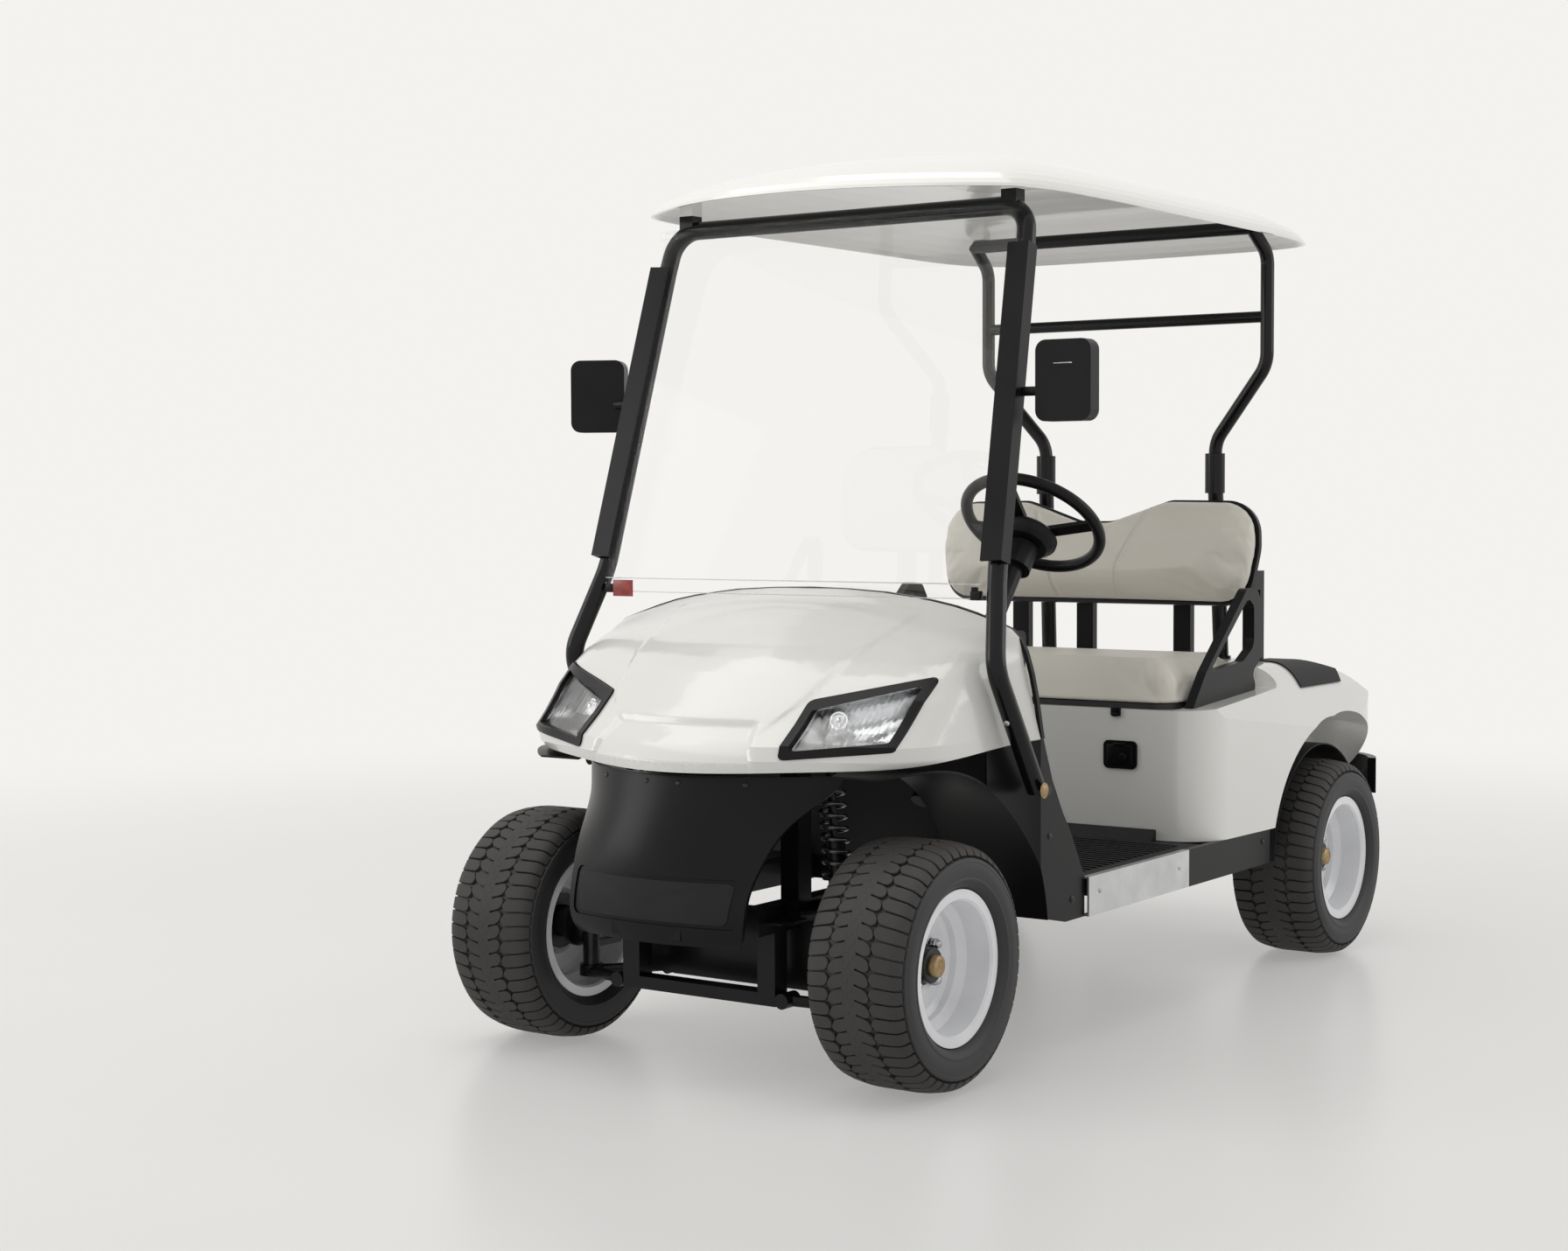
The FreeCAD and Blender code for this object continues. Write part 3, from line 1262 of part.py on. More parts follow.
def make_bumper():
    rise = s.bumper_high - s.bumper_low
    sections = []
    for share, half, nose, corner in BUMPER_LEVEL_SHARES:
        z = s.bumper_low + rise * share
        sections.append(bow(float(s.bumper_half_width * half), float(s.bumper_nose * nose),
                            float(s.bumper_nose * corner), float(z), float(s.bumper_wall)))
    shield = Part.makeLoft(sections, True, False)
    skin = shield.cut(shield.translated(Vector(0, float(s.bumper_plate_depth), 0)))
    plate = prism("y", [(u, v, s.dash_corner) for u, v in (
        (-s.bumper_plate_half_width, s.bumper_plate_low), (s.bumper_plate_half_width, s.bumper_plate_low),
        (s.bumper_plate_half_width, s.bumper_plate_high), (-s.bumper_plate_half_width, s.bumper_plate_high))],
                  -s.bumper_nose - s.overrun, s.rail_front)
    bracket = box((-s.rail_width * 2, -s.bumper_nose + s.bumper_wall * 0.5, s.rail_low),
                  (s.rail_width * 2, s.rail_front - s.fit_gap, s.rail_low + s.rail_width * 0.8))
    node("front_bumper", cut(fuse(shaped(shield), bracket), common(shaped(skin), plate)))


def make_sills():
    outer = s.body_half_width + s.sill_wall
    side = s.body_half_width + s.fit_gap
    inner = outer - s.sill_flange
    pan_edge = s.floor_half_width + s.fit_gap
    low = s.sill_low
    top = s.floor_top
    front = s.apron_rear_y + s.fit_gap
    rear = s.sill_joint
    plate = fuse(box((pan_edge, front, low), (outer, rear, low + s.sill_wall)),
                 box((outer - s.sill_wall, front, low), (outer, rear, top)),
                 box((pan_edge, front, top - s.sill_wall), (outer, rear, top)))
    node("sill_plates", both_sides(plate))
    front = s.sill_joint + s.fit_gap
    rocker = fuse(box((pan_edge, front, low), (outer, s.sill_rear, low + s.sill_wall)),
                  box((outer - s.sill_wall, front, low), (outer, s.sill_rear, top)),
                  box((pan_edge, front, top - s.sill_wall), (outer, s.sill_rear, top)))
    node("sill_trim", both_sides(rocker))


# Windscreen, struts and mirrors.
def strut_points():
    return [(s.strut_foot_x, s.strut_foot_y, s.strut_foot_z), (s.strut_knee_x, s.strut_knee_y,
                                                               s.strut_knee_z),
            (s.strut_low_x, s.strut_low_y, s.strut_low_z), (s.strut_high_x, s.strut_high_y, s.strut_high_z),
            (s.strut_top_x, s.strut_top_y, s.strut_top_z)]


def make_front_struts():
    left = strut_points()
    right = [(-x, y, z) for x, y, z in reversed(left)]
    bends = [s.strut_bend, s.strut_bend * 4, s.strut_bend * 4, s.strut_top_bend]
    hoop = tube(left + right, s.strut_radius, bends + list(reversed(bends)))
    bolt = cylinder((s.body_half_width + s.fit_gap, s.strut_foot_y, s.strut_foot_z), "x",
                    s.strut_radius * 0.5,
                    s.strut_radius * 2)
    brackets = []
    for x in (s.roof_rail_x, -s.roof_rail_x):
        brackets.append(box((x - s.roof_rail_width / 2, s.strut_top_y - s.roof_rail_width / 2, s.strut_top_z),
                            (x + s.roof_rail_width / 2, s.strut_top_y + s.roof_rail_width / 2,
                             s.strut_top_z + s.strut_radius + s.roof_rail_height)))
    node("front_struts", fuse(hoop, bolt, mirrored(bolt), *brackets))


def strut_slope():
    """How far the front strut leans back for each unit of height."""
    return round(float(s.strut_high_y - s.strut_low_y) / float(s.strut_high_z - s.strut_low_z), 6)


def screen_y(z):
    """The windscreen's front face at a height, just ahead of the struts."""
    lean = strut_slope()
    secant = round(math.hypot(1, lean), 6)
    clear = (s.strut_radius + s.fit_gap + s.screen_wall) * secant
    return s.strut_low_y + (z - s.strut_low_z) * lean - clear


def make_windscreen():
    """A clear sheet in front of the struts, folded at its foot, with a rolled lip along its top."""
    low = s.screen_low_half_width
    high = s.screen_high_half_width
    wall = s.screen_wall
    foot_z = s.screen_low_z - s.screen_fold_height
    foot_y = screen_y(s.screen_low_z)
    top_z = s.screen_high_z
    top_y = screen_y(top_z)
    sheet = prism("x", sharp([(foot_y, foot_z), (foot_y, s.screen_low_z), (top_y, top_z), (top_y + wall,
                                                                                           top_z),
                              (foot_y + wall, s.screen_low_z), (foot_y + wall, foot_z)]), -low, low)
    face = prism("y", sharp([(-low, foot_z - s.overrun), (low, foot_z - s.overrun), (low, s.screen_low_z),
                             (high, top_z), (high, top_z + s.overrun), (-high, top_z + s.overrun),
                             (-high, top_z), (-low, s.screen_low_z)]),
                 foot_y - s.overrun, top_y + s.overrun)
    lip = s.screen_lip_radius
    place = (-high, top_y + wall - lip, top_z)
    roll = cut(cylinder(place, "x", lip, high * 2),
               cylinder((-high - wall, top_y + wall - lip, top_z), "x", lip - wall * 0.8,
                        high * 2 + wall * 2))
    node("windscreen", fuse(common(sheet, face), roll))


def make_channels():
    """Flat strips that clamp the windscreen's edges to the struts."""
    wall = float(s.channel_wall)
    width = float(s.channel_width)
    points = strut_points()
    low, high = (Vector(*[float(value) for value in point]) for point in points[2:4])
    along = (high - low).normalize()
    across = Vector(1, 0, 0)
    across = (across - along * across.dot(along)).normalize()
    front = along.cross(across) * -1
    radius = float(s.strut_radius)
    face = float(s.screen_wall) + float(s.fit_gap)
    depth = radius + float(s.fit_gap) + face + wall + float(s.panel_gap) * 2
    outer = radius + float(s.fit_gap)
    corners = [(-width + outer + wall, depth), (outer + wall, depth), (outer + wall, -radius * 0.2),
               (outer, -radius * 0.2), (outer, depth - wall), (-width + outer + wall, depth - wall)]
    low = low + along * ((float(s.channel_low_z) - low.z) / along.z)
    places = [low + across * u + front * v for u, v in corners]
    start = Part.Face(Part.makePolygon(places + places[:1]))
    node("windscreen_channels", both_sides(shaped(start.extrude(high - low))))


def mirror_outline(inset):
    """The mirror's outline, set in by an amount."""
    half_width = s.mirror_width / 2 - inset
    half_height = s.mirror_height / 2 - inset
    soft = s.mirror_width * 0.18 - inset
    low = s.mirror_z - half_height
    high = s.mirror_z + half_height
    left = s.mirror_x - half_width
    right = s.mirror_x + half_width
    return [(left, low, soft), (right, low, soft), (right, high, soft), (left, high, soft)]


def passenger_turned(feature):
    """The mirror image of a piece, turned in towards the driver about the mirror's own upright."""
    shape = feature.Shape.mirror(Vector(0, 0, 0), Vector(1, 0, 0))
    pivot = Vector(-float(s.mirror_x), float(s.mirror_y - s.mirror_depth / 2), 0)
    shape.rotate(pivot, Vector(0, 0, 1), float(s.mirror_turn))
    return shape


def make_mirrors():
    inset = s.mirror_width * 0.06
    housing = prism("y", mirror_outline(NONE), s.mirror_y - s.mirror_depth, s.mirror_y)
    pocket = prism("y", mirror_outline(inset), s.mirror_y - s.mirror_glass_wall, s.mirror_y + s.overrun)
    arm_z = s.mirror_z - s.mirror_height * 0.12
    rise = arm_z - s.strut_low_z
    lean_in = round(float(s.strut_high_x - s.strut_low_x) / float(s.strut_high_z - s.strut_low_z), 6)
    reach = s.strut_radius + s.channel_wall + s.panel_gap * 1.6
    arm_start = (s.strut_low_x + rise * lean_in + reach, s.strut_low_y + rise * strut_slope(), arm_z)
    arm_end = (s.mirror_x - s.mirror_width / 2 + inset * 2, s.mirror_y - s.mirror_depth / 2, arm_z)
    arm = tube([arm_start, arm_end], s.mirror_arm_radius)
    back = s.mirror_y - s.mirror_glass_wall
    glass = prism("y", mirror_outline(inset + s.fit_gap), back, back + s.mirror_glass_wall * 0.8)
    head = cut(housing, pocket)
    other = mirrored(arm)
    doc.recompute()
    node("mirrors", group(fuse(head, arm), fuse(shaped(passenger_turned(head)), other)))
    node("mirror_glass", group(glass, shaped(passenger_turned(glass))))


# Roof and rear struts.
def roof_ring(half_width, front, rear, z):
    """The roof's plan at one level."""
    right = [Vector(half_width * across, front + (rear - front) * along, z) for across,
             along in ROOF_PLAN_SHARES]
    left = [Vector(-point.x, point.y, z) for point in reversed(right[1:-1])]
    curve = Part.BSplineCurve()
    curve.interpolate(Points=right + left, PeriodicFlag=True)
    return Part.Wire([curve.toShape()])


def roof_form(inset):
    """The roof's crowned form, set in by an amount."""
    rise = float(s.roof_height - s.roof_edge_z)
    half = float(s.roof_half_width)
    length = float(s.roof_rear - s.roof_front)
    sections = []
    for rise_share, inset_share in ROOF_LEVEL_SHARES:
        across = inset_share * half + inset
        along = inset_share * length / 2 + inset
        z = float(s.roof_edge_z) + rise * rise_share - inset
        sections.append(roof_ring(half - across, float(s.roof_front) + along, float(s.roof_rear) - along, z))
    return Part.makeLoft(sections, True, True)


def make_roof():
    inner = roof_form(float(s.roof_wall))
    shell = roof_form(0).cut(inner)
    half = float(s.roof_rail_width) / 2
    high = float(s.roof_height)
    front_z = float(s.strut_top_z + s.strut_radius + s.roof_rail_height + s.fit_gap)
    rear_z = float(s.rear_strut_top_z + s.rear_strut_radius + s.fit_gap)
    front = (float(s.roof_rail_x), float(s.strut_top_y), front_z)
    rear = (float(s.rear_strut_top_x) - half, float(s.rear_strut_top_y), rear_z)
    for x, y, z in (front, rear):
        pad = Part.makeBox(half * 2, half * 2, high - z, Vector(x - half, y - half, z))
        pad = pad.fuse(pad.mirror(Vector(0, 0, 0), Vector(1, 0, 0)))
        shell = shell.fuse(pad.common(roof_form(float(s.roof_wall) * ROOF_SEAT_SHARE)))
    node("roof", shaped(shell))


def make_rear_struts():
    base = (s.rear_strut_foot_x, s.rear_strut_foot_y, s.rear_strut_foot_z + s.rear_strut_radius * 0.2)
    left = [base,
            (s.rear_strut_x, s.rear_strut_y, s.rear_strut_knee_z),
            (s.rear_strut_elbow_x, s.rear_strut_elbow_y, s.rear_strut_elbow_z),
            (s.rear_strut_elbow_x, s.rear_strut_elbow_y, s.rear_strut_hook_z),
            (s.rear_strut_top_x, s.rear_strut_top_y, s.rear_strut_top_z)]
    bends = [s.rear_strut_bend, s.rear_strut_bend, s.rear_strut_bend * 0.6]
    foot = cylinder((s.rear_strut_foot_x, s.rear_strut_foot_y, s.rear_strut_foot_z + s.fit_gap), "z",
                    s.clamp_radius, s.rear_strut_radius * 0.4)
    sleeve = tube([base, (s.rear_strut_x, s.rear_strut_y, s.clamp_z)], s.rear_sleeve_radius)
    pole = tube(left, s.rear_strut_radius, bends)
    clamp = cylinder((s.rear_strut_x, s.rear_strut_y, s.clamp_z - s.clamp_height / 2), "z", s.clamp_radius,
                     s.clamp_height)
    bar = cylinder((-s.rear_strut_elbow_x, s.rear_strut_elbow_y, s.rear_bar_z), "x",
                   s.rear_strut_radius * 0.85,
                   s.rear_strut_elbow_x * 2)
    top = cylinder((-s.rear_strut_top_x, s.rear_strut_top_y, s.rear_strut_top_z), "x", s.rear_strut_radius,
                   s.rear_strut_top_x * 2)
    parts = [pole, foot, sleeve, clamp]
    node("rear_struts", fuse(*parts, *[mirrored(part) for part in parts], bar, top))


# Rear body.
def body_plan(inset):
    """The rear body's plan outline, set in by an amount."""
    half = s.body_half_width - inset
    flare = half + s.body_flare
    arch = s.rear_arch_radius
    rear = s.body_rear - inset
    right = [(half, s.body_front + inset, s.body_front_corner - inset), (flare, s.wheelbase - arch * 0.3,
                                                                         arch),
             (flare, s.wheelbase + arch * 0.3, arch), (half, rear, s.body_rear_corner - inset)]
    return right + [(-u, v, r) for u, v, r in reversed(right)]


def shouldered(inset):
    """The rear body's whole form with its rounded deck."""
    plan = body_plan(inset)
    body = doc.addObject("PartDesign::Body", "rear")
    low = s.body_low - (s.overrun if float(inset) else NONE)
    sketch = outline(body, "z", plan, low)
    pad = body.newObject("PartDesign::Pad", "pad")
    pad.Profile = sketch
    bind(pad, Length=s.deck_z - inset - low)
    return body


def deck_cutter(inset):
    """What the rear body is kept to in front view: rounded shoulders."""
    side = s.body_half_width + s.body_flare - inset
    top = s.deck_z - inset
    radius = s.deck_shoulder
    low = s.body_low - s.overrun * 2
    right = [(side + s.overrun, low, NONE), (side + s.overrun, top - radius * 2.7, NONE),
             (side, top - radius * 2.5, NONE), (side - radius, top, radius * 2)]
    left = [(-u, v, r) for u, v, r in reversed(right)]
    return prism("y", right + left, s.body_front - s.overrun, s.body_rear + s.overrun)


def rim_climb():
    """How far the rim beside the seat climbs for each unit of its run, as a share."""
    run = s.deck_front - s.deck_shoulder - s.seat_front
    return round(float(s.deck_z - s.seat_rim_z) * 0.38 / float(run), 6)


def seat_zone(inset):
    """What is cut away above the seat's rim in side view, with a rim that rises beside the seat."""
    top = s.deck_z + s.overrun
    rim = s.seat_rim_z - inset
    front = s.body_front - s.overrun
    rear = s.deck_front + inset
    bend = rear - s.deck_shoulder
    inner = [(front, rim, NONE), (bend, rim, s.deck_shoulder * 0.7), (rear, top, NONE), (front, top, NONE)]
    far = s.body_half_width + s.overrun
    near = s.seat_half_width + s.panel_gap * 2 + inset
    raised = rim + (bend - s.seat_front) * rim_climb()
    edge = [(front, rim, NONE), (s.seat_front, rim, NONE), (bend, raised, s.deck_shoulder * 0.7), (rear,
                                                                                                   top, NONE),
            (front, top, NONE)]
    return fuse(prism("x", inner, -near, near), prism("x", edge, -far, far))


def deck_fall(inset):
    """What the rear body is kept to in side view: the deck's fall to the rear."""
    front = s.body_front - s.overrun
    rise = s.deck_z - s.body_low
    length = s.body_rear - s.bag_well_front
    corners = [(front, s.body_low - s.overrun * 2, NONE), (s.body_rear + s.overrun,
                                                           s.body_low - s.overrun * 2, NONE)]
    for along, up, radius in DECK_FALL_SHARES:
        corners.append((s.body_rear - length * along - inset, s.body_low + rise * up - inset,
                        s.deck_shoulder * radius))
    corners.append((front, s.deck_z - inset, NONE))
    return prism("x", corners, -s.body_half_width - s.overrun, s.body_half_width + s.overrun)


def wheel_well(radius, inner_x, outer_x, side):
    """The opening over a rear wheel, drawn out to the rear by a second round."""
    start = inner_x if side > 0 else -outer_x
    return fuse(cylinder((start, s.wheelbase, s.tyre_radius), "x", radius, outer_x - inner_x),
                cylinder((start, s.wheelbase + s.rear_arch_shift, s.tyre_radius), "x",
                         radius + s.rear_arch_rise,
                         outer_x - inner_x))


def bag_well(grow):
    return box((-s.bag_well_half_width - grow, s.bag_well_front - grow, s.bag_well_floor - grow),
               (s.bag_well_half_width + grow, s.body_rear + s.overrun, s.deck_z + s.overrun))


def rear_form(inset):
    """The rear body's form, set in by an amount."""
    return common(cut(shouldered(inset), seat_zone(inset)), deck_cutter(inset), deck_fall(inset))


def make_rear_body():
    wall = s.panel_wall
    outer = rear_form(NONE)
    inner = rear_form(wall)
    out_x = s.body_half_width + s.body_flare + s.overrun
    wells = [wheel_well(s.rear_arch_radius, s.rear_well_inner_x, out_x, side) for side in (1, -1)]
    grown = [wheel_well(s.rear_arch_radius + wall, s.rear_well_inner_x - wall, out_x, side) for side in (1,
                                                                                                         -1)]
    cavity = cut(inner, *grown, bag_well(wall))
    bay = box((-s.bay_half_width, s.bay_front, s.seat_rim_z - wall * 4), (s.bay_half_width, s.bay_rear,
                                                                          s.deck_z))
    port = box((s.port_x - s.port_width / 2 + wall, s.body_front - s.overrun,
                s.port_z - s.port_height / 2 + wall),
               (s.port_x + s.port_width / 2 - wall, s.body_front + wall * 2,
                s.port_z + s.port_height / 2 - wall))
    node("rear_body", cut(outer, cavity, *wells, bag_well(NONE), bay, port))


def make_bag_tray():
    """A black liner in the bag well, open to the rear."""
    wall = s.bag_tray_wall
    gap = s.fit_gap
    low = (-s.bag_well_half_width + gap, s.bag_well_front + gap, s.bag_well_floor + gap)
    high = (s.bag_well_half_width - gap, s.body_rear - s.body_flare * 5, s.deck_z - s.panel_wall * 12)
    block = box(low, high)
    hollow = box((low[0] + wall, low[1] + wall, low[2] + wall),
                 (high[0] - wall, high[1] + s.overrun, high[2] + s.overrun))
    node("bag_tray", cut(block, hollow))


def make_deck_pads():
    """A textured black insert over each rear fender's shoulder."""
    skin = cut(rear_form(-s.deck_pad_height), rear_form(-s.fit_gap))
    inner = s.deck_pad_inner_x
    outer = s.deck_pad_outer_x
    front = s.deck_pad_front
    rear = s.deck_pad_rear
    run = rear - front
    soft = s.deck_shoulder * 0.5
    zone = prism("z", [(inner, front + run * 0.35, soft), (outer, front, soft), (outer, front + run * 0.70,
                                                                                 soft),
                       (inner + (outer - inner) * 0.50, rear, soft), (inner, rear, soft)],
                 s.deck_z - s.deck_shoulder * 0.9, s.deck_z + s.overrun)
    node("deck_pads", both_sides(common(skin, zone)))


def make_rear_bumper():
    """A black bumper wrapped round the rear body's corners on two stays."""
    low = s.rear_bumper_low
    high = low + s.rear_bumper_height
    depth = s.rear_bumper_depth
    band = cut(prism("z", body_plan(-depth), low, high), prism("z", body_plan(-s.fit_gap), low - depth,
                                                               high + depth))
    far = s.body_half_width + s.overrun
    rear = s.body_rear + s.overrun
    shell = common(band, box((-far, s.body_rear - s.rear_bumper_wrap, low), (far, rear, high)))
    stays = []
    for x in (s.rail_x, -s.rail_x):
        low_x = x - s.rail_width / 2
        high_x = x + s.rail_width / 2
        end = s.body_rear + depth / 2
        stays.append(box((low_x, s.rail_rear + s.fit_gap, s.rail_low), (high_x, end, s.rail_high)))
        stays.append(box((low_x, s.body_rear + s.fit_gap, s.rail_low), (high_x, end, low + depth)))
    node("rear_bumper", fuse(shell, *stays))


def make_tail_lamps():
    """A red lamp on each rear corner above the bumper."""
    skin = cut(rear_form(-s.tail_lamp_depth), rear_form(-s.fit_gap))
    zone = box((s.tail_lamp_x - s.tail_lamp_width / 2, s.body_rear - s.body_rear_corner, s.tail_lamp_z),
               (s.tail_lamp_x + s.tail_lamp_width / 2, s.body_rear + s.overrun,
                s.tail_lamp_z + s.tail_lamp_height))
    node("tail_lamps", both_sides(common(skin, zone)))


def make_port():
    left = s.port_x - s.port_width / 2
    right = s.port_x + s.port_width / 2
    low = s.port_z - s.port_height / 2
    high = s.port_z + s.port_height / 2
    soft = s.latch_height
    face = s.body_front - s.fit_gap
    corners = [(left, low, soft), (right, low, soft), (right, high, soft), (left, high, soft)]
    node("charge_port", prism("y", corners, face - s.port_stand, face))


# Seat.
def cushion_plan(inset):
    """The seat's plan outline, set in by an amount."""
    half = s.seat_half_width - inset
    front = s.seat_front + inset
    rear = s.seat_rear - inset
    corner = s.seat_corner - inset
    return [(-half, front, corner), (half, front, corner), (half, rear, corner), (-half, rear, corner)]


def make_seat():
    board_low = s.seat_low - s.seat_board_wall - s.fit_gap
    board = prism("z", cushion_plan(s.seat_board_inset), board_low, s.seat_low - s.fit_gap)
    hinge_y = s.seat_rear - s.seat_board_inset + s.seat_hinge_radius - s.fit_gap * 1.6
    barrel = cylinder((-s.seat_hinge_half_length, hinge_y, board_low + s.seat_board_wall / 2), "x",
                      s.seat_hinge_radius, s.seat_hinge_half_length * 2)
    node("seat_base", fuse(board, barrel))
    node("seat_cushion", prism("z", cushion_plan(NONE), s.seat_low, s.seat_high))


def back_outline(grow):
    """The seat back's outline in front view with its dip in the middle."""
    half = s.back_half_width + grow
    low = s.back_low - grow
    high = s.back_high + grow
    corner = s.back_corner + grow
    rise = high - low
    right = [(half * 0.955, low, corner), (half, low + rise * 0.55, corner * 2), (half * 0.975, high,
                                                                                  corner * 1.15),
             (half * 0.45, high + s.back_dip * 0.06, corner), (half * 0.10, high - s.back_dip, corner * 1.2)]
    return right + [(-u, v, r) for u, v, r in reversed(right)]


def leaned(feature, pivot_y):
    """Lean a seat back piece about a line across the cart at the back's foot."""
    turn = Rotation(Vector(1, 0, 0), -float(s.back_lean))
    pivot = Vector(0, float(pivot_y), float(s.back_low))
    moved = pivot - turn.multVec(pivot)
    shape = feature.Shape.copy()
    shape.Placement = Placement(moved, turn)
    return shape


def make_seat_back():
    front = s.back_front
    cushion = prism("y", back_outline(NONE), front, front + s.back_thickness)
    shell_front = front + s.back_thickness + s.fit_gap
    shell = prism("y", back_outline(s.panel_gap), shell_front, shell_front + s.back_shell_wall)
    doc.recompute()
    node("seat_back_cushion", group(shaped(leaned(cushion, front))))
    node("seat_back_shell", group(shaped(leaned(shell, front))))
    doc.removeObject(cushion.Name)
    doc.removeObject(shell.Name)


def back_rear_y(z):
    """The seat back shell's rear face at a height."""
    lean = math.radians(float(s.back_lean))
    cosine = round(math.cos(lean), 6)
    sine = round(math.sin(lean), 6)
    depth = s.back_thickness + s.fit_gap + s.back_shell_wall
    return s.back_front + depth * cosine + (z - s.back_low + depth * sine) * round(sine / cosine, 6)


def make_supports():
    """Four legs behind the seat that carry its back on short arms."""
    half = s.support_width / 2
    foot = s.deck_z + s.fit_gap
    front = s.support_y - s.support_depth / 2
    rear = s.support_y + s.support_depth / 2
    high = s.support_high
    reach = back_rear_y(high) + s.fit_gap
    bars = []
    for x in (s.support_inner_x, -s.support_inner_x, s.support_outer_x, -s.support_outer_x):
        bars.append(box((x - half, front, foot), (x + half, rear, high)))
        bars.append(box((x - half, reach, high - s.support_width), (x + half, rear, high)))
    edge = s.support_outer_x + half
    bars.append(box((-edge, reach, high - s.support_depth * 0.6), (edge, reach + s.support_depth, high)))
    node("seat_supports", fuse(*bars))


def make_armrests():
    """A closed loop over a foot on the rising rim beside the seat."""
    low_x = s.armrest_x
    high_x = s.armrest_x + s.armrest_thickness
    length = s.seat_rear - s.seat_front
    rise = s.back_high - s.seat_rim_z
    bend = s.seat_corner
    foot = [(s.seat_front + length * share, s.seat_rim_z + length * share * rim_climb() + s.fit_gap, NONE)
            for share in ARMREST_FOOT_SHARES]
    loop, hole = ([(s.seat_front + length * u, s.seat_rim_z + s.fit_gap + rise * v, bend * r) for u, v,
                   r in corners]
                  for corners in (ARMREST_SHARES, ARMREST_HOLE_SHARES))
    ring = cut(prism("x", foot + loop, low_x, high_x), prism("x", hole, low_x - s.overrun,
                                                             high_x + s.overrun))
    node("armrests", both_sides(ring))


def make_battery():
    low = s.rail_high + s.tower_wall + s.fit_gap
    block = box((-s.battery_half_width + s.overrun * 0.2, s.battery_front + s.overrun * 0.1, low),
                (s.battery_half_width - s.overrun * 0.2, s.battery_rear - s.overrun * 0.1,
                 low + s.battery_height))
    node("battery_pack", group(block))


doc = FreeCAD.newDocument("golf_cart")
s = fill_sheet(doc)
NODES = []
make_wheels()
make_knuckles()
make_tie_rods()
make_front_suspension()
make_front_springs()
make_chassis_frame()
make_rear_axle()
make_rear_springs()
make_floor()
make_steering()
make_pedals()
make_cowl()
make_dashboard()
make_aprons()
make_bumper()
make_sills()
make_front_struts()
make_windscreen()
make_channels()
make_mirrors()
make_roof()
make_rear_struts()
make_rear_body()
make_bag_tray()
make_deck_pads()
make_rear_bumper()
make_tail_lamps()
make_port()
make_seat()
make_seat_back()
make_supports()
make_armrests()
make_battery()
doc.recompute()

os.makedirs("parts", exist_ok=True)
for item in doc.Objects:
    if "Invalid" in item.State or "Error" in item.State:
        raise RuntimeError(f"{item.Label} did not build: {item.State}")
for item in NODES:
    if item.Shape.isNull() or not item.Shape.isValid() or not item.Shape.Solids:
        raise RuntimeError(f"{item.Label} has no valid solid")
for item in NODES:
    item.Shape.exportStep(f"parts/{item.Label}.step")
    low = item.Shape.BoundBox
    print(f"{item.Label:24s} {len(item.Shape.Solids):2d} x {low.XMin:7.0f} {low.XMax:7.0f}"
          f" y {low.YMin:7.0f} {low.YMax:7.0f} z {low.ZMin:7.0f} {low.ZMax:7.0f}")
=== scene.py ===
import bpy
import bmesh
import math
import numpy as np
from mathutils import Matrix, Vector


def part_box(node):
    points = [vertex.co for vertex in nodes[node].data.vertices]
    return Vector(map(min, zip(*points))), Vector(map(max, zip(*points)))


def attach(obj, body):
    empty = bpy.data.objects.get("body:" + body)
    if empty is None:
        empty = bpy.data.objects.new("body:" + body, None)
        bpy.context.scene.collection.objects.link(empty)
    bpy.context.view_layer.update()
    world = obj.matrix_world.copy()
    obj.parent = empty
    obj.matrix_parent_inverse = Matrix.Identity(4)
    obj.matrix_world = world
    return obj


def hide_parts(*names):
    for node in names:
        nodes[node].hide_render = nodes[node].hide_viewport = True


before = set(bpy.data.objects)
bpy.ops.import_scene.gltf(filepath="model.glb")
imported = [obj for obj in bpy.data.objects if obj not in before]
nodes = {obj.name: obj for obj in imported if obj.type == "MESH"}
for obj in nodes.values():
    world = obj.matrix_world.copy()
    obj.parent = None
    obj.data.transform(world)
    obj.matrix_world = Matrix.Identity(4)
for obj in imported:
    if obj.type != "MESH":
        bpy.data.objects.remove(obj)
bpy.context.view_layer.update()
print("frame loaded:", len(nodes), "nodes")

frontAxleY = -0.917  # both axles in the frame's metres
rearAxleY = 0.776


# ---- small tools
def addObject(name, mesh, material=None, body=None):
    piece = bpy.data.objects.new(name, mesh)
    bpy.context.scene.collection.objects.link(piece)
    if material:
        mesh.materials.clear()
        mesh.materials.append(material)
    if body:
        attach(piece, body)
    return piece


def addNode(tree, kind, values=None):
    made = tree.nodes.new(kind)
    for label, value in (values or {}).items():
        made.inputs[label].default_value = value
    return made


def wire(tree, *lines):
    # each line is source node, its output, target node, its input
    for source, output, target, socket in lines:
        tree.links.new(source.outputs[output], target.inputs[socket])


def shade(mesh, sharpAngle=35):
    mesh.shade_smooth()
    mesh.set_sharp_from_angle(angle=math.radians(sharpAngle))
    return mesh


def meshFrom(name, points, faces, sharpAngle=35):
    mesh = bpy.data.meshes.new(name)
    mesh.from_pydata([tuple(p) for p in points], [], [tuple(f) for f in faces])
    mesh.validate()
    return shade(mesh, sharpAngle)


def joined(name, meshes, sharpAngle=35):
    work = bmesh.new()
    for mesh in meshes:
        work.from_mesh(mesh)
    result = bpy.data.meshes.new(name)
    work.to_mesh(result)
    work.free()
    return shade(result, sharpAngle)


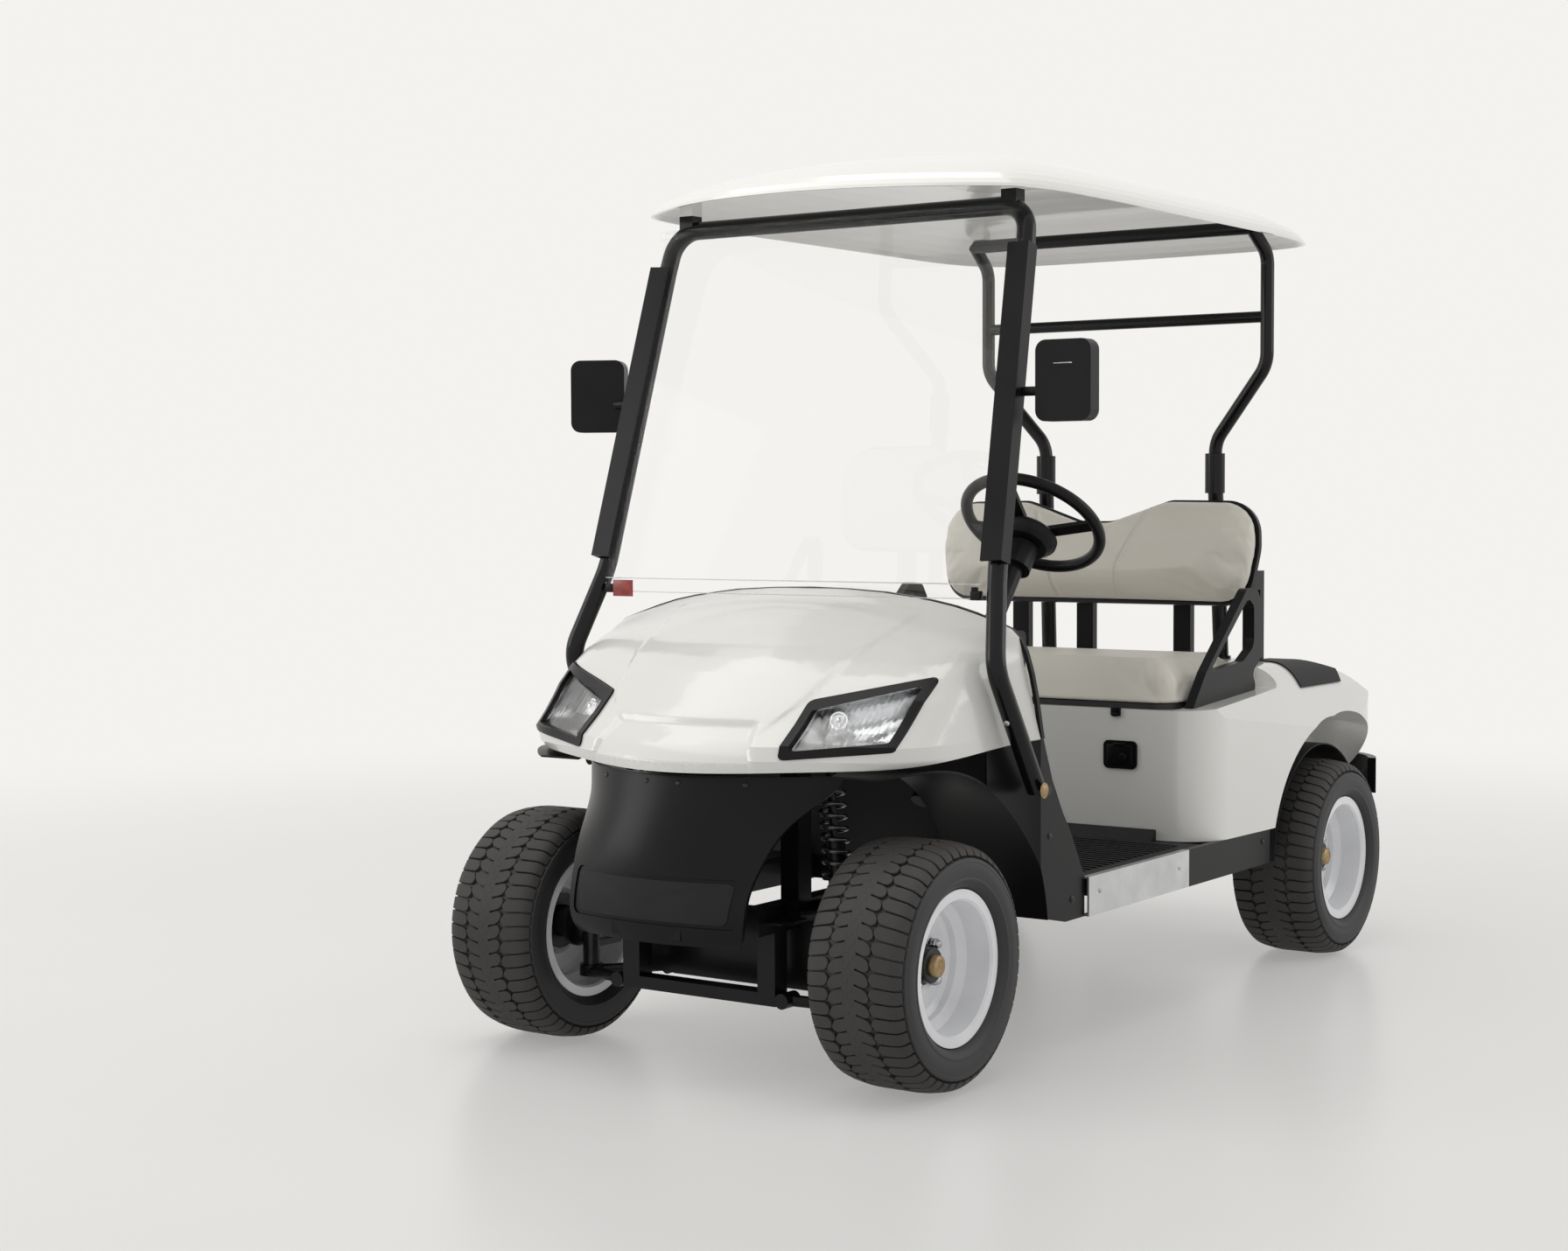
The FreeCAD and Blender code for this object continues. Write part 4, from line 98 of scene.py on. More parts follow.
def moved(mesh, matrix):
    copy = mesh.copy()
    copy.transform(matrix)
    if matrix.determinant() < 0:
        copy.flip_normals()
    return copy


def evaluated(name, source):
    # the plain mesh that an object's modifiers give, without the object
    view = bpy.context.evaluated_depsgraph_get()
    mesh = bpy.data.meshes.new_from_object(source.evaluated_get(view), depsgraph=view)
    mesh.name = name
    bpy.data.objects.remove(source)
    return mesh


def lathe(name, profile, segments=96, axis="X", centre=(0, 0, 0), closed=False, sharpAngle=35):
    # profile is (along the axis, radius); both ends on the axis or a closed ring
    points, faces = [], []
    count = len(profile)
    for step in range(segments):
        angle = 2 * math.pi * step / segments
        for along, radius in profile:
            u, v = radius * math.cos(angle), radius * math.sin(angle)
            local = {"X": (along, u, v), "Y": (u, along, v), "Z": (u, v, along)}[axis]
            points.append(Vector(local) + Vector(centre))
    spans = count if closed else count - 1
    for step in range(segments):
        after = (step + 1) % segments
        for i in range(spans):
            j = (i + 1) % count
            faces.append((step * count + i, step * count + j, after * count + j, after * count + i))
    mesh = meshFrom(name, points, faces, sharpAngle)
    return tidied(mesh, sharpAngle)


def tidied(mesh, sharpAngle=35, distance=1e-5):
    # doubles merged, faces turned outwards
    work = bmesh.new()
    work.from_mesh(mesh)
    bmesh.ops.remove_doubles(work, verts=work.verts, dist=distance)
    bmesh.ops.dissolve_degenerate(work, edges=work.edges, dist=distance / 10)
    bmesh.ops.recalc_face_normals(work, faces=work.faces)
    work.to_mesh(mesh)
    work.free()
    return shade(mesh, sharpAngle)


def copyOfNode(name, node, sharpAngle=30, distance=2e-5):
    # a CAD node's own form as one joined, smoothly shaded mesh
    mesh = nodes[node].data.copy()
    mesh.name = name
    mesh.materials.clear()
    for attribute in [a.name for a in mesh.attributes if a.name == "custom_normal"]:
        mesh.attributes.remove(mesh.attributes[attribute])
    work = bmesh.new()
    work.from_mesh(mesh)
    bmesh.ops.remove_doubles(work, verts=work.verts, dist=distance)
    work.to_mesh(mesh)
    work.free()
    return shade(mesh, sharpAngle)


def turned(angle, axis):
    return Matrix.Rotation(math.radians(angle), 4, axis)


def aimed(start, end):
    # a matrix that stands +Z on the line from start to end
    direction = Vector(end) - Vector(start)
    return Matrix.Translation(start) @ direction.to_track_quat("Z", "Y").to_matrix().to_4x4()


def roundBar(name, start, end, radius, segments=24, bevel=0.0):
    # a capped round bar with a small chamfer at each end
    length = (Vector(end) - Vector(start)).length
    edge = min(bevel, radius * 0.5, length * 0.4)
    profile = [(0, 0), (0, radius - edge), (edge, radius), (length - edge, radius), (length, radius - edge),
               (length, 0)]
    bar = lathe(name, profile, segments, "Z")
    bar.transform(aimed(start, end))
    return bar


def softBox(name, size, centre, radius=0.004, segments=3):
    work = bmesh.new()
    bmesh.ops.create_cube(work, size=1)
    bmesh.ops.scale(work, vec=size, verts=work.verts)
    bmesh.ops.bevel(work, geom=list(work.edges), offset=radius, segments=segments, profile=0.5,
                    affect="EDGES")
    mesh = bpy.data.meshes.new(name)
    work.to_mesh(mesh)
    work.free()
    mesh.transform(Matrix.Translation(centre))
    return shade(mesh, 50)


def hexNut(name, base, direction, radius, height):
    # a six-sided nut or bolt head with its corners turned down
    across = radius * math.cos(math.pi / 6)
    points, faces = [], []
    rings = ((0, radius), (height * 0.8, radius), (height, across * 0.93))
    for level, reach in rings:
        for i in range(6):
            a = math.pi / 3 * i
            points.append((reach * math.cos(a), reach * math.sin(a), level))
    for ring in range(2):
        for i in range(6):
            j = (i + 1) % 6
            faces.append((ring * 6 + i, ring * 6 + j, ring * 6 + 6 + j, ring * 6 + 6 + i))
    faces.append(tuple(range(12, 18)))
    faces.append(tuple(reversed(range(6))))
    mesh = meshFrom(name, points, faces, 20)
    end = Vector(base) + Vector(direction)
    mesh.transform(aimed(base, end))
    return mesh


def roundHead(name, base, direction, radius, height, segments=20):
    # a domed fastener head
    steps = 5
    profile = [(0, 0), (0, radius)]
    for i in range(1, steps + 1):
        a = math.pi / 2 * i / steps
        profile.append((height * math.sin(a), radius * math.cos(a) if i < steps else 0))
    head = lathe(name, profile, segments, "Z")
    head.transform(aimed(base, Vector(base) + Vector(direction)))
    return head


# ---- geometry node tools
def nodeTree(name, inputs):
    # a tree with a geometry input, the named inputs and a geometry output
    tree = bpy.data.node_groups.new(name, "GeometryNodeTree")
    face = tree.interface
    face.new_socket("Geometry", in_out="INPUT", socket_type="NodeSocketGeometry")
    for label, kind in inputs:
        face.new_socket(label, in_out="INPUT", socket_type="NodeSocket" + kind)
    face.new_socket("Geometry", in_out="OUTPUT", socket_type="NodeSocketGeometry")
    start = addNode(tree, "NodeGroupInput")
    end = addNode(tree, "NodeGroupOutput")
    return tree, start, end


def closeTree(tree, start, end, socket):
    # every tree ends in Realize Instances and Set Material
    real = addNode(tree, "GeometryNodeRealizeInstances")
    paint = addNode(tree, "GeometryNodeSetMaterial")
    tree.links.new(socket, real.inputs["Geometry"])
    wire(tree, (real, "Geometry", paint, "Geometry"), (start, "Material", paint, "Material"),
         (paint, "Geometry", end, "Geometry"))
    return tree


def runTree(name, tree, values, mesh=None):
    # the plain mesh that a tree gives with these values
    carrier = addObject(name + "_work", mesh or bpy.data.meshes.new(name + "_work"))
    modifier = carrier.modifiers.new("tree", "NODES")
    modifier.node_group = tree
    for item in tree.interface.items_tree:
        if item.in_out == "INPUT" and item.name in values:
            modifier[item.identifier] = values[item.name]
    return evaluated(name, carrier)


def ringTree(name):
    # copies of a block set round the X axis
    tree, start, end = nodeTree(name, [("Count", "Int"), ("Block", "Object"), ("Material", "Material")])
    line = addNode(tree, "GeometryNodeMeshLine")
    line.mode = "OFFSET"
    line.inputs["Offset"].default_value = (0, 0, 0)
    index = addNode(tree, "GeometryNodeInputIndex")
    share = addNode(tree, "ShaderNodeMath")
    share.operation = "DIVIDE"
    turn = addNode(tree, "ShaderNodeMath")
    turn.operation = "MULTIPLY"
    turn.inputs[1].default_value = 2 * math.pi
    angles = addNode(tree, "ShaderNodeCombineXYZ")
    block = addNode(tree, "GeometryNodeObjectInfo")
    place = addNode(tree, "GeometryNodeInstanceOnPoints")
    wire(tree, (start, "Count", line, "Count"), (index, 0, share, 0), (start, "Count", share, 1),
         (share, 0, turn, 0), (turn, 0, angles, "X"), (start, "Block", block, "Object"),
         (line, "Mesh", place, "Points"), (block, "Geometry", place, "Instance"),
         (angles, 0, place, "Rotation"))
    return closeTree(tree, start, end, place.outputs["Instances"])


def coilTree(name):
    # a round wire wound into a coil along Z
    tree, start, end = nodeTree(name, [("Turns", "Float"), ("Radius", "Float"), ("Length", "Float"),
                                       ("Wire", "Float"), ("Steps", "Int"), ("Material", "Material")])
    coil = addNode(tree, "GeometryNodeCurveSpiral")
    ring = addNode(tree, "GeometryNodeCurvePrimitiveCircle", {"Resolution": 12})
    skin = addNode(tree, "GeometryNodeCurveToMesh", {"Fill Caps": True})
    wire(tree, (start, "Turns", coil, "Rotations"), (start, "Radius", coil, "Start Radius"),
         (start, "Radius", coil, "End Radius"), (start, "Length", coil, "Height"),
         (start, "Steps", coil, "Resolution"), (start, "Wire", ring, "Radius"),
         (coil, "Curve", skin, "Curve"), (ring, "Curve", skin, "Profile Curve"))
    return closeTree(tree, start, end, skin.outputs["Mesh"])


def pathTree(name):
    # blocks laid along a path at an even pitch, each turned to the path
    tree, start, end = nodeTree(name, [("Pitch", "Float"), ("Block", "Object"), ("Material", "Material")])
    curve = addNode(tree, "GeometryNodeMeshToCurve")
    spaced = addNode(tree, "GeometryNodeCurveToPoints")
    spaced.mode = "LENGTH"
    block = addNode(tree, "GeometryNodeObjectInfo")
    place = addNode(tree, "GeometryNodeInstanceOnPoints")
    wire(tree, (start, "Geometry", curve, "Mesh"), (curve, "Curve", spaced, "Curve"),
         (start, "Pitch", spaced, "Length"), (start, "Block", block, "Object"),
         (spaced, "Points", place, "Points"), (spaced, "Rotation", place, "Rotation"),
         (block, "Geometry", place, "Instance"))
    return closeTree(tree, start, end, place.outputs["Instances"])


ringOfBlocks = ringTree("ringOfBlocks")
woundCoil = coilTree("woundCoil")
blocksOnPath = pathTree("blocksOnPath")


# ---- finishes
def finish(name, look):
    # one Principled material; noise drives its colour, its roughness and its bump
    material = bpy.data.materials.new(name)
    material.use_nodes = True
    tree = material.node_tree
    shader = tree.nodes["Principled BSDF"]
    place = addNode(tree, "ShaderNodeTexCoord")
    colours = addNode(tree, "ShaderNodeTexNoise", {"Scale": look.get("patches", 3), "Detail": 6})
    ramp = addNode(tree, "ShaderNodeValToRGB")
    ramp.color_ramp.elements[0].position = 0.32
    ramp.color_ramp.elements[1].position = 0.68
    ramp.color_ramp.elements[0].color = (*look["shade"], 1)
    ramp.color_ramp.elements[1].color = (*look["colour"], 1)
    grain = addNode(tree, "ShaderNodeTexNoise", {"Scale": look.get("grain", 400), "Detail": 4})
    rough = addNode(tree, "ShaderNodeMapRange")
    spread = look.get("spread", 0.05)
    rough.inputs["To Min"].default_value = look["rough"] - spread
    rough.inputs["To Max"].default_value = look["rough"] + spread
    bump = addNode(tree, "ShaderNodeBump", {
        "Strength": look.get("relief", 0.1), "Distance": look.get("depth", 0.0004)})
    wire(tree, (place, "Object", colours, "Vector"), (place, "Object", grain, "Vector"),
         (colours, 0, ramp, "Fac"), (ramp, "Color", shader, "Base Color"), (colours, 0, rough, "Value"),
         (rough, 0, shader, "Roughness"), (grain, 0, bump, "Height"), (bump, "Normal", shader, "Normal"))
    for label, value in look.get("sockets", {}).items():
        shader.inputs[label].default_value = value
    return material


def addRelief(material, scale, strength, depth):
    # a second, larger relief under the grain
    tree = material.node_tree
    bump = next(n for n in tree.nodes if n.type == "BUMP")
    place = next(n for n in tree.nodes if n.type == "TEX_COORD")
    pattern = addNode(tree, "ShaderNodeTexVoronoi", {"Scale": scale})
    second = addNode(tree, "ShaderNodeBump", {"Strength": strength, "Distance": depth})
    wire(tree, (place, "Object", pattern, "Vector"), (pattern, 0, second, "Height"),
         (second, "Normal", bump, "Normal"))


looks = {
    "gelcoatWhite": dict(colour=(0.80, 0.80, 0.775), shade=(0.77, 0.77, 0.745), rough=0.22, spread=0.03,
                         patches=2, grain=60, relief=0.02, depth=0.001,
                         sockets={"Coat Weight": 0.5, "Coat Roughness": 0.06}),
    "treadRubber": dict(colour=(0.038, 0.036, 0.034), shade=(0.024, 0.023, 0.022), rough=0.68, patches=9,
                        grain=260, relief=0.35, depth=0.0008),
    "sidewallRubber": dict(colour=(0.022, 0.022, 0.024), shade=(0.016, 0.016, 0.018), rough=0.55, patches=6,
                           grain=500, relief=0.18, depth=0.0004),
    "wheelSilver": dict(colour=(0.90, 0.91, 0.93), shade=(0.83, 0.84, 0.87), rough=0.30, patches=12,
                        grain=900, relief=0.05, depth=0.0003,
                        sockets={"Coat Weight": 0.4, "Coat Roughness": 0.12}),
    "hubIron": dict(colour=(0.020, 0.020, 0.021), shade=(0.010, 0.010, 0.011), rough=0.32, patches=30,
                    grain=300, relief=0.25, depth=0.0008, sockets={"Metallic": 0.4}),
    "capBrass": dict(colour=(0.44, 0.32, 0.16), shade=(0.28, 0.19, 0.09), rough=0.38, patches=60, grain=700,
                     relief=0.12, depth=0.0004, sockets={"Metallic": 0.6}),
    "nutSteel": dict(colour=(0.55, 0.55, 0.56), shade=(0.33, 0.33, 0.34), rough=0.28, patches=80, grain=900,
                     relief=0.1, depth=0.0002, sockets={"Metallic": 0.95}),
    "frameBlack": dict(colour=(0.008, 0.008, 0.009), shade=(0.005, 0.005, 0.006), rough=0.34, patches=14,
                       grain=220, relief=0.16, depth=0.0006,
                       sockets={"Specular IOR Level": 0.18, "Coat Weight": 0.05}),
    "springBlack": dict(colour=(0.018, 0.018, 0.019), shade=(0.012, 0.012, 0.013), rough=0.22, patches=20,
                        grain=500, relief=0.06, depth=0.0003, sockets={"Coat Weight": 0.7}),
    "matBlack": dict(colour=(0.013, 0.013, 0.014), shade=(0.008, 0.008, 0.009), rough=0.6, patches=10,
                     grain=500, relief=0.3, depth=0.0006, sockets={"Specular IOR Level": 0.25}),
    "mouldedBlack": dict(colour=(0.008, 0.008, 0.009), shade=(0.005, 0.005, 0.006), rough=0.32, patches=8,
                         grain=900, relief=0.12, depth=0.0003, sockets={"Specular IOR Level": 0.18}),
    "panelBlack": dict(colour=(0.007, 0.007, 0.0075), shade=(0.005, 0.005, 0.0055), rough=0.30, patches=5,
                       grain=1100, relief=0.12, depth=0.0003, sockets={"Specular IOR Level": 0.16}),
    "strutGloss": dict(colour=(0.005, 0.005, 0.0055), shade=(0.003, 0.003, 0.0035), rough=0.25, patches=10,
                       grain=300, relief=0.05, depth=0.0003,
                       sockets={"Specular IOR Level": 0.16, "Coat Weight": 0.22, "Coat Roughness": 0.08}),
    "brightPlate": dict(colour=(0.66, 0.67, 0.68), shade=(0.56, 0.57, 0.58), rough=0.26, patches=18,
                        grain=600, relief=0.06, depth=0.0002, sockets={"Metallic": 0.9}),
    "lampChrome": dict(colour=(0.86, 0.87, 0.88), shade=(0.74, 0.75, 0.76), rough=0.10, spread=0.03,
                       patches=40, grain=200, relief=0.02, depth=0.0004, sockets={"Metallic": 1.0}),
    "mirrorSilver": dict(colour=(0.80, 0.81, 0.82), shade=(0.78, 0.79, 0.80), rough=0.04, spread=0.01,
                         relief=0.0, sockets={"Metallic": 1.0}),
    "tailRed": dict(colour=(0.42, 0.012, 0.010), shade=(0.30, 0.008, 0.007), rough=0.14, spread=0.02,
                    patches=30, grain=250, relief=0.1, depth=0.0006, sockets={"Coat Weight": 0.6}),
    "reflectorRed": dict(colour=(0.36, 0.050, 0.038), shade=(0.22, 0.025, 0.020), rough=0.3, patches=90,
                         grain=350, relief=0.2, depth=0.0005),
    "seatVinyl": dict(colour=(0.70, 0.675, 0.605), shade=(0.665, 0.64, 0.57), rough=0.42, spread=0.05,
                      patches=5, grain=700, relief=0.16, depth=0.0004,
                      sockets={"Specular IOR Level": 0.45, "Sheen Weight": 0.08}),
    "seatThread": dict(colour=(0.60, 0.575, 0.51), shade=(0.50, 0.48, 0.42), rough=0.7, patches=200,
                       grain=1500, relief=0.3, depth=0.0003),
    "boardBlack": dict(colour=(0.016, 0.016, 0.016), shade=(0.010, 0.010, 0.010), rough=0.5, patches=12,
                       grain=700, relief=0.25, depth=0.0005),
    "batteryGrey": dict(colour=(0.045, 0.047, 0.05), shade=(0.03, 0.031, 0.034), rough=0.45, patches=8,
                        grain=500, relief=0.15, depth=0.0004),
    # whitish half-clear strips on the windscreen's lower edge and fold: a painted highlight
    "paintedEdgeHighlight": dict(colour=(0.70, 0.73, 0.73), shade=(0.60, 0.63, 0.63), rough=0.15, patches=20,
                       grain=300, relief=0.03, depth=0.0003,
                       sockets={"Alpha": 0.55, "Transmission Weight": 0.5}),
}
finishes = {name: finish(name, look) for name, look in looks.items()}
for name, scale, strength, depth in (("seatVinyl", 620, 0.10, 0.0004), ("mouldedBlack", 900, 0.08, 0.0003),
                                     ("matBlack", 420, 0.25, 0.0006), ("boardBlack", 500, 0.2, 0.0005)):
    addRelief(finishes[name], scale, strength, depth)


def clearFinish(name, colour, straight, rough):
    # clear acrylic: part of the light goes straight through, and the rest bends and shines
    material = bpy.data.materials.new(name)
    material.use_nodes = True
    tree = material.node_tree
    shader = tree.nodes["Principled BSDF"]
    place = addNode(tree, "ShaderNodeTexCoord")
    noise = addNode(tree, "ShaderNodeTexNoise", {"Scale": 7})
    ramp = addNode(tree, "ShaderNodeMapRange", {"To Min": rough * 0.5, "To Max": rough * 1.5})
    tint = addNode(tree, "ShaderNodeValToRGB")
    tint.color_ramp.elements[0].color = (*[c * 0.99 for c in colour], 1)
    tint.color_ramp.elements[1].color = (*colour, 1)
    wire(tree, (place, "Object", noise, "Vector"), (noise, 0, ramp, "Value"), (noise, 0, tint, "Fac"),
         (tint, "Color", shader, "Base Color"), (ramp, 0, shader, "Roughness"))
    shader.inputs["Transmission Weight"].default_value = 1
    shader.inputs["IOR"].default_value = 1.45
    shader.inputs["Alpha"].default_value = 1 - straight
    return material


finishes["clearAcrylic"] = clearFinish("clearAcrylic", (0.97, 0.98, 0.98), 0.96, 0.02)
finishes["lampGlass"] = clearFinish("lampGlass", (0.98, 0.985, 0.99), 0.35, 0.02)
print("finishes ready:", len(finishes))

nodeFinish = {
    "treadRubber": "tyre_front_left tyre_front_right tyre_rear_left tyre_rear_right",
    "wheelSilver": "rim_front_left rim_front_right rim_rear_left rim_rear_right",
    "hubIron": "hub_front_left hub_front_right hub_rear_left hub_rear_right knuckle_left knuckle_right",
    "frameBlack": "tie_rods front_suspension chassis_frame rack_housing rear_axle rear_springs",
    "springBlack": "front_springs",
    "matBlack": "floor_pan pedals bag_tray deck_pads",
    "mouldedBlack": "steering_wheel steering_column dashboard cowl_trim headlamp_bezels mirrors armrests charge_port "
                    "windscreen_channels rear_bumper",
    "panelBlack": "front_aprons front_bumper sill_trim seat_back_shell seat_supports",
    "strutGloss": "front_struts rear_struts",
    "gelcoatWhite": "front_cowl roof rear_body",
    "brightPlate": "sill_plates",
    "clearAcrylic": "windscreen",
    "lampGlass": "headlamps",
    "mirrorSilver": "mirror_glass",
    "tailRed": "tail_lamps",
    "boardBlack": "seat_base",
    "seatVinyl": "seat_cushion seat_back_cushion",
    "batteryGrey": "battery_pack",
}
for finishName, names in nodeFinish.items():
    for node in names.split():
        materials = nodes[node].data.materials
        if not materials:
            materials.append(finishes[finishName])
        for i in range(len(materials)):
            materials[i] = finishes[finishName]


# ---- tyres: a carcass, a centre rib and shoulder blocks set round it
tyre = {
    "pitches": 52, "grooveDepth": 0.0062, "wheelZ": 0.230,
    "frontX": 0.4265, "rearX": 0.473,
    # where the tread's surface runs: across, radius, and the outward lean of its normal
    "surface": [(0.0, 0.2300, 0), (0.030, 0.2300, 2), (0.0425, 0.2297, 4), (0.046, 0.2294, 5),
                (0.052, 0.2288, 7),
                (0.062, 0.2275, 9), (0.076, 0.2250, 14), (0.087, 0.2218, 24), (0.0945, 0.2155, 48),
                (0.0995, 0.2065, 66)],
    # stations of one block: across, from, to, in shares of a pitch
    "lobe": [(0.011, 0.07, 0.93), (0.020, 0.05, 0.95), (0.030, 0.05, 0.95), (0.036, 0.11, 0.89),
             (0.0402, 0.24, 0.76),
             (0.0425, 0.40, 0.60)],
    "shoulder": [(0.0432, 0.40, 0.60), (0.046, 0.22, 0.78), (0.0505, 0.09, 0.91), (0.062, 0.06, 0.94),
                 (0.076, 0.05, 0.95), (0.087, 0.05, 0.95), (0.0945, 0.06, 0.94), (0.0995, 0.10, 0.90)],
    "lobeSlant": 0.55, "shoulderSlant": 0.22, "edge": 0.0011,
    "sidewall": [(0.1015, 0.2010), (0.1034, 0.1945), (0.1030, 0.1930), (0.1040, 0.1905), (0.1040, 0.1790),
                 (0.1036, 0.1720), (0.1026, 0.1660), (0.1034, 0.1640), (0.1030, 0.1610), (0.1008, 0.1585),
                 (0.0985, 0.1540),
                 (0.0950, 0.1505), (0.0905, 0.1475), (0.0870, 0.1456), (0.0838, 0.1445), (0.0790, 0.1275)],
}


def surfaceAt(across):
    # the tread surface's radius and its normal at a distance from the middle
    table = tyre["surface"]
    for (u0, r0, a0), (u1, r1, a1) in zip(table, table[1:]):
        if u0 <= across <= u1:
            share = (across - u0) / (u1 - u0)
            return r0 + (r1 - r0) * share, math.radians(a0 + (a1 - a0) * share)
    return table[-1][1], math.radians(table[-1][2])


def treadBlock(stations, slant, shift, side):
    # one block of tread as a strip of stations, each a base, a chamfer and a top
    pitch = 2 * math.pi / tyre["pitches"]
    depth, edge = tyre["grooveDepth"], tyre["edge"]
    first = stations[0][0]
    points, faces = [], []
    for across, low, high in stations:
        radius, lean = surfaceAt(across)
        lift = slant * (across - first) / 0.055
        inset = edge / radius / pitch
        for share, drop in ((low, depth), (low, edge), (low + inset, 0), (high - inset, 0), (high, edge),
                            (high, depth)):
            angle = (share + lift + shift) * pitch
            u = across - math.sin(lean) * drop
            r = radius - math.cos(lean) * drop
            points.append((u * side, r * math.cos(angle), r * math.sin(angle)))
    rows = len(stations)
    for row in range(rows - 1):
        for i in range(5):
            a = row * 6 + i
            faces.append((a, a + 1, a + 7, a + 6))
    faces.append(tuple(range(6)))
    faces.append(tuple(reversed(range((rows - 1) * 6, rows * 6))))
    return tidied(meshFrom("treadBlock", points, faces), 30)


def treadTile():
    # everything that one pitch of the tread holds
    parts = []
    for side, shift in ((1, 0.0), (-1, 0.3)):
        parts.append(treadBlock(tyre["lobe"], tyre["lobeSlant"], shift, side))
        parts.append(treadBlock(tyre["shoulder"], tyre["shoulderSlant"], shift + 0.5 + tyre["lobeSlant"],
                                side))
    parts.append(treadBlock([(-0.0, 0.0, 0.42), (0.0085, 0.0, 0.42)], 0.35, 0.1, 1))
    parts.append(treadBlock([(-0.0, 0.0, 0.42), (0.0085, 0.0, 0.42)], 0.35, 0.6, -1))
    return joined("treadTile", parts, 30)


def carcassProfile():
    depth = tyre["grooveDepth"]
    right = []
    for across, radius, lean in tyre["surface"]:
        a = math.radians(lean)
        right.append((across - math.sin(a) * depth * (across > 0), radius - math.cos(a) * depth))
    right += tyre["sidewall"]
    inner = [(0.0740, 0.1300), (0.0790, 0.1490), (0.0930, 0.1640), (0.0950, 0.1900), (0.0860, 0.2080),
             (0.0, 0.2120)]
    right += inner
    left = [(-u, r) for u, r in reversed(right[1:-1])]
    return right + left


tile = addObject("treadTileWork", treadTile())
treadMesh = runTree("tread", ringOfBlocks, {"Count": tyre["pitches"], "Block": tile,
                                            "Material": finishes["treadRubber"]})
bpy.data.objects.remove(tile)
rib = [(-0.0135, 0.2235), (-0.0135, 0.2290), (-0.0125, 0.2297), (0.0125, 0.2297), (0.0135, 0.2290),
       (0.0135, 0.2235)]
ribMesh = lathe("centreRib", rib, 208)
treadMesh = shade(joined("tread", [treadMesh, ribMesh]), 32)
carcassMesh = lathe("carcass", carcassProfile(), 144, closed=True, sharpAngle=28)

wheelPlaces = {
    "front_left": (tyre["frontX"], frontAxleY, 1), "front_right": (-tyre["frontX"], frontAxleY, -1),
    "rear_left": (tyre["rearX"], rearAxleY, 1), "rear_right": (-tyre["rearX"], rearAxleY, -1),
}
for index, (wheel, (x, y, side)) in enumerate(wheelPlaces.items()):
    roll = turned(17 * index, "X")
    place = Matrix.Translation((x, y, tyre["wheelZ"])) @ turned(0 if side > 0 else 180, "Z") @ roll
    body = "wheel_" + wheel
    carcass = addObject("carcass_" + wheel, moved(carcassMesh, place), finishes["sidewallRubber"], body)
    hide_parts("tyre_" + wheel)
    addObject("tread_" + wheel, moved(treadMesh, place), finishes["treadRubber"], body)
print("tyres made:", len(treadMesh.polygons), "faces in each tread")

# ---- wheel fittings: brass cap, acorn nuts, hub bolts and a valve
hub = {"nuts": 4, "nutCircle": 0.047, "nutRadius": 0.0112, "nutOut": 0.0155, "capRadius": 0.0200,
       "capStart": 0.0385, "capEnd": 0.0530, "boltCircle": 0.052, "boltOut": 0.010, "boltTurn": 33,
       "valveCircle": 0.098, "valveAngle": 2.2, "valveOut": 0.014, "valveLean": 14}


def capMesh():
    r, a, b = hub["capRadius"], hub["capStart"], hub["capEnd"]
    profile = [(a, 0), (a, r), (b - 0.004, r), (b - 0.0025, r - 0.0006), (b - 0.001, r - 0.0030),
               (b, r - 0.0052),
               (b, r * 0.52), (b - 0.0012, r * 0.47), (b - 0.0012, r * 0.20), (b - 0.0004, r * 0.14),
               (b - 0.0004, 0)]
    return lathe("hubCap", profile, 48, sharpAngle=25)


def acornNut():
    # a hexagon with a round dome on it, along X
    nut = hexNut("acornNut", (0, 0, 0), (1, 0, 0), hub["nutRadius"], 0.010)
    dome = roundHead("acornDome", (0.0095, 0, 0), (1, 0, 0), hub["nutRadius"] * 0.80, 0.0080)
    return joined("acornNut", [nut, dome], 25)


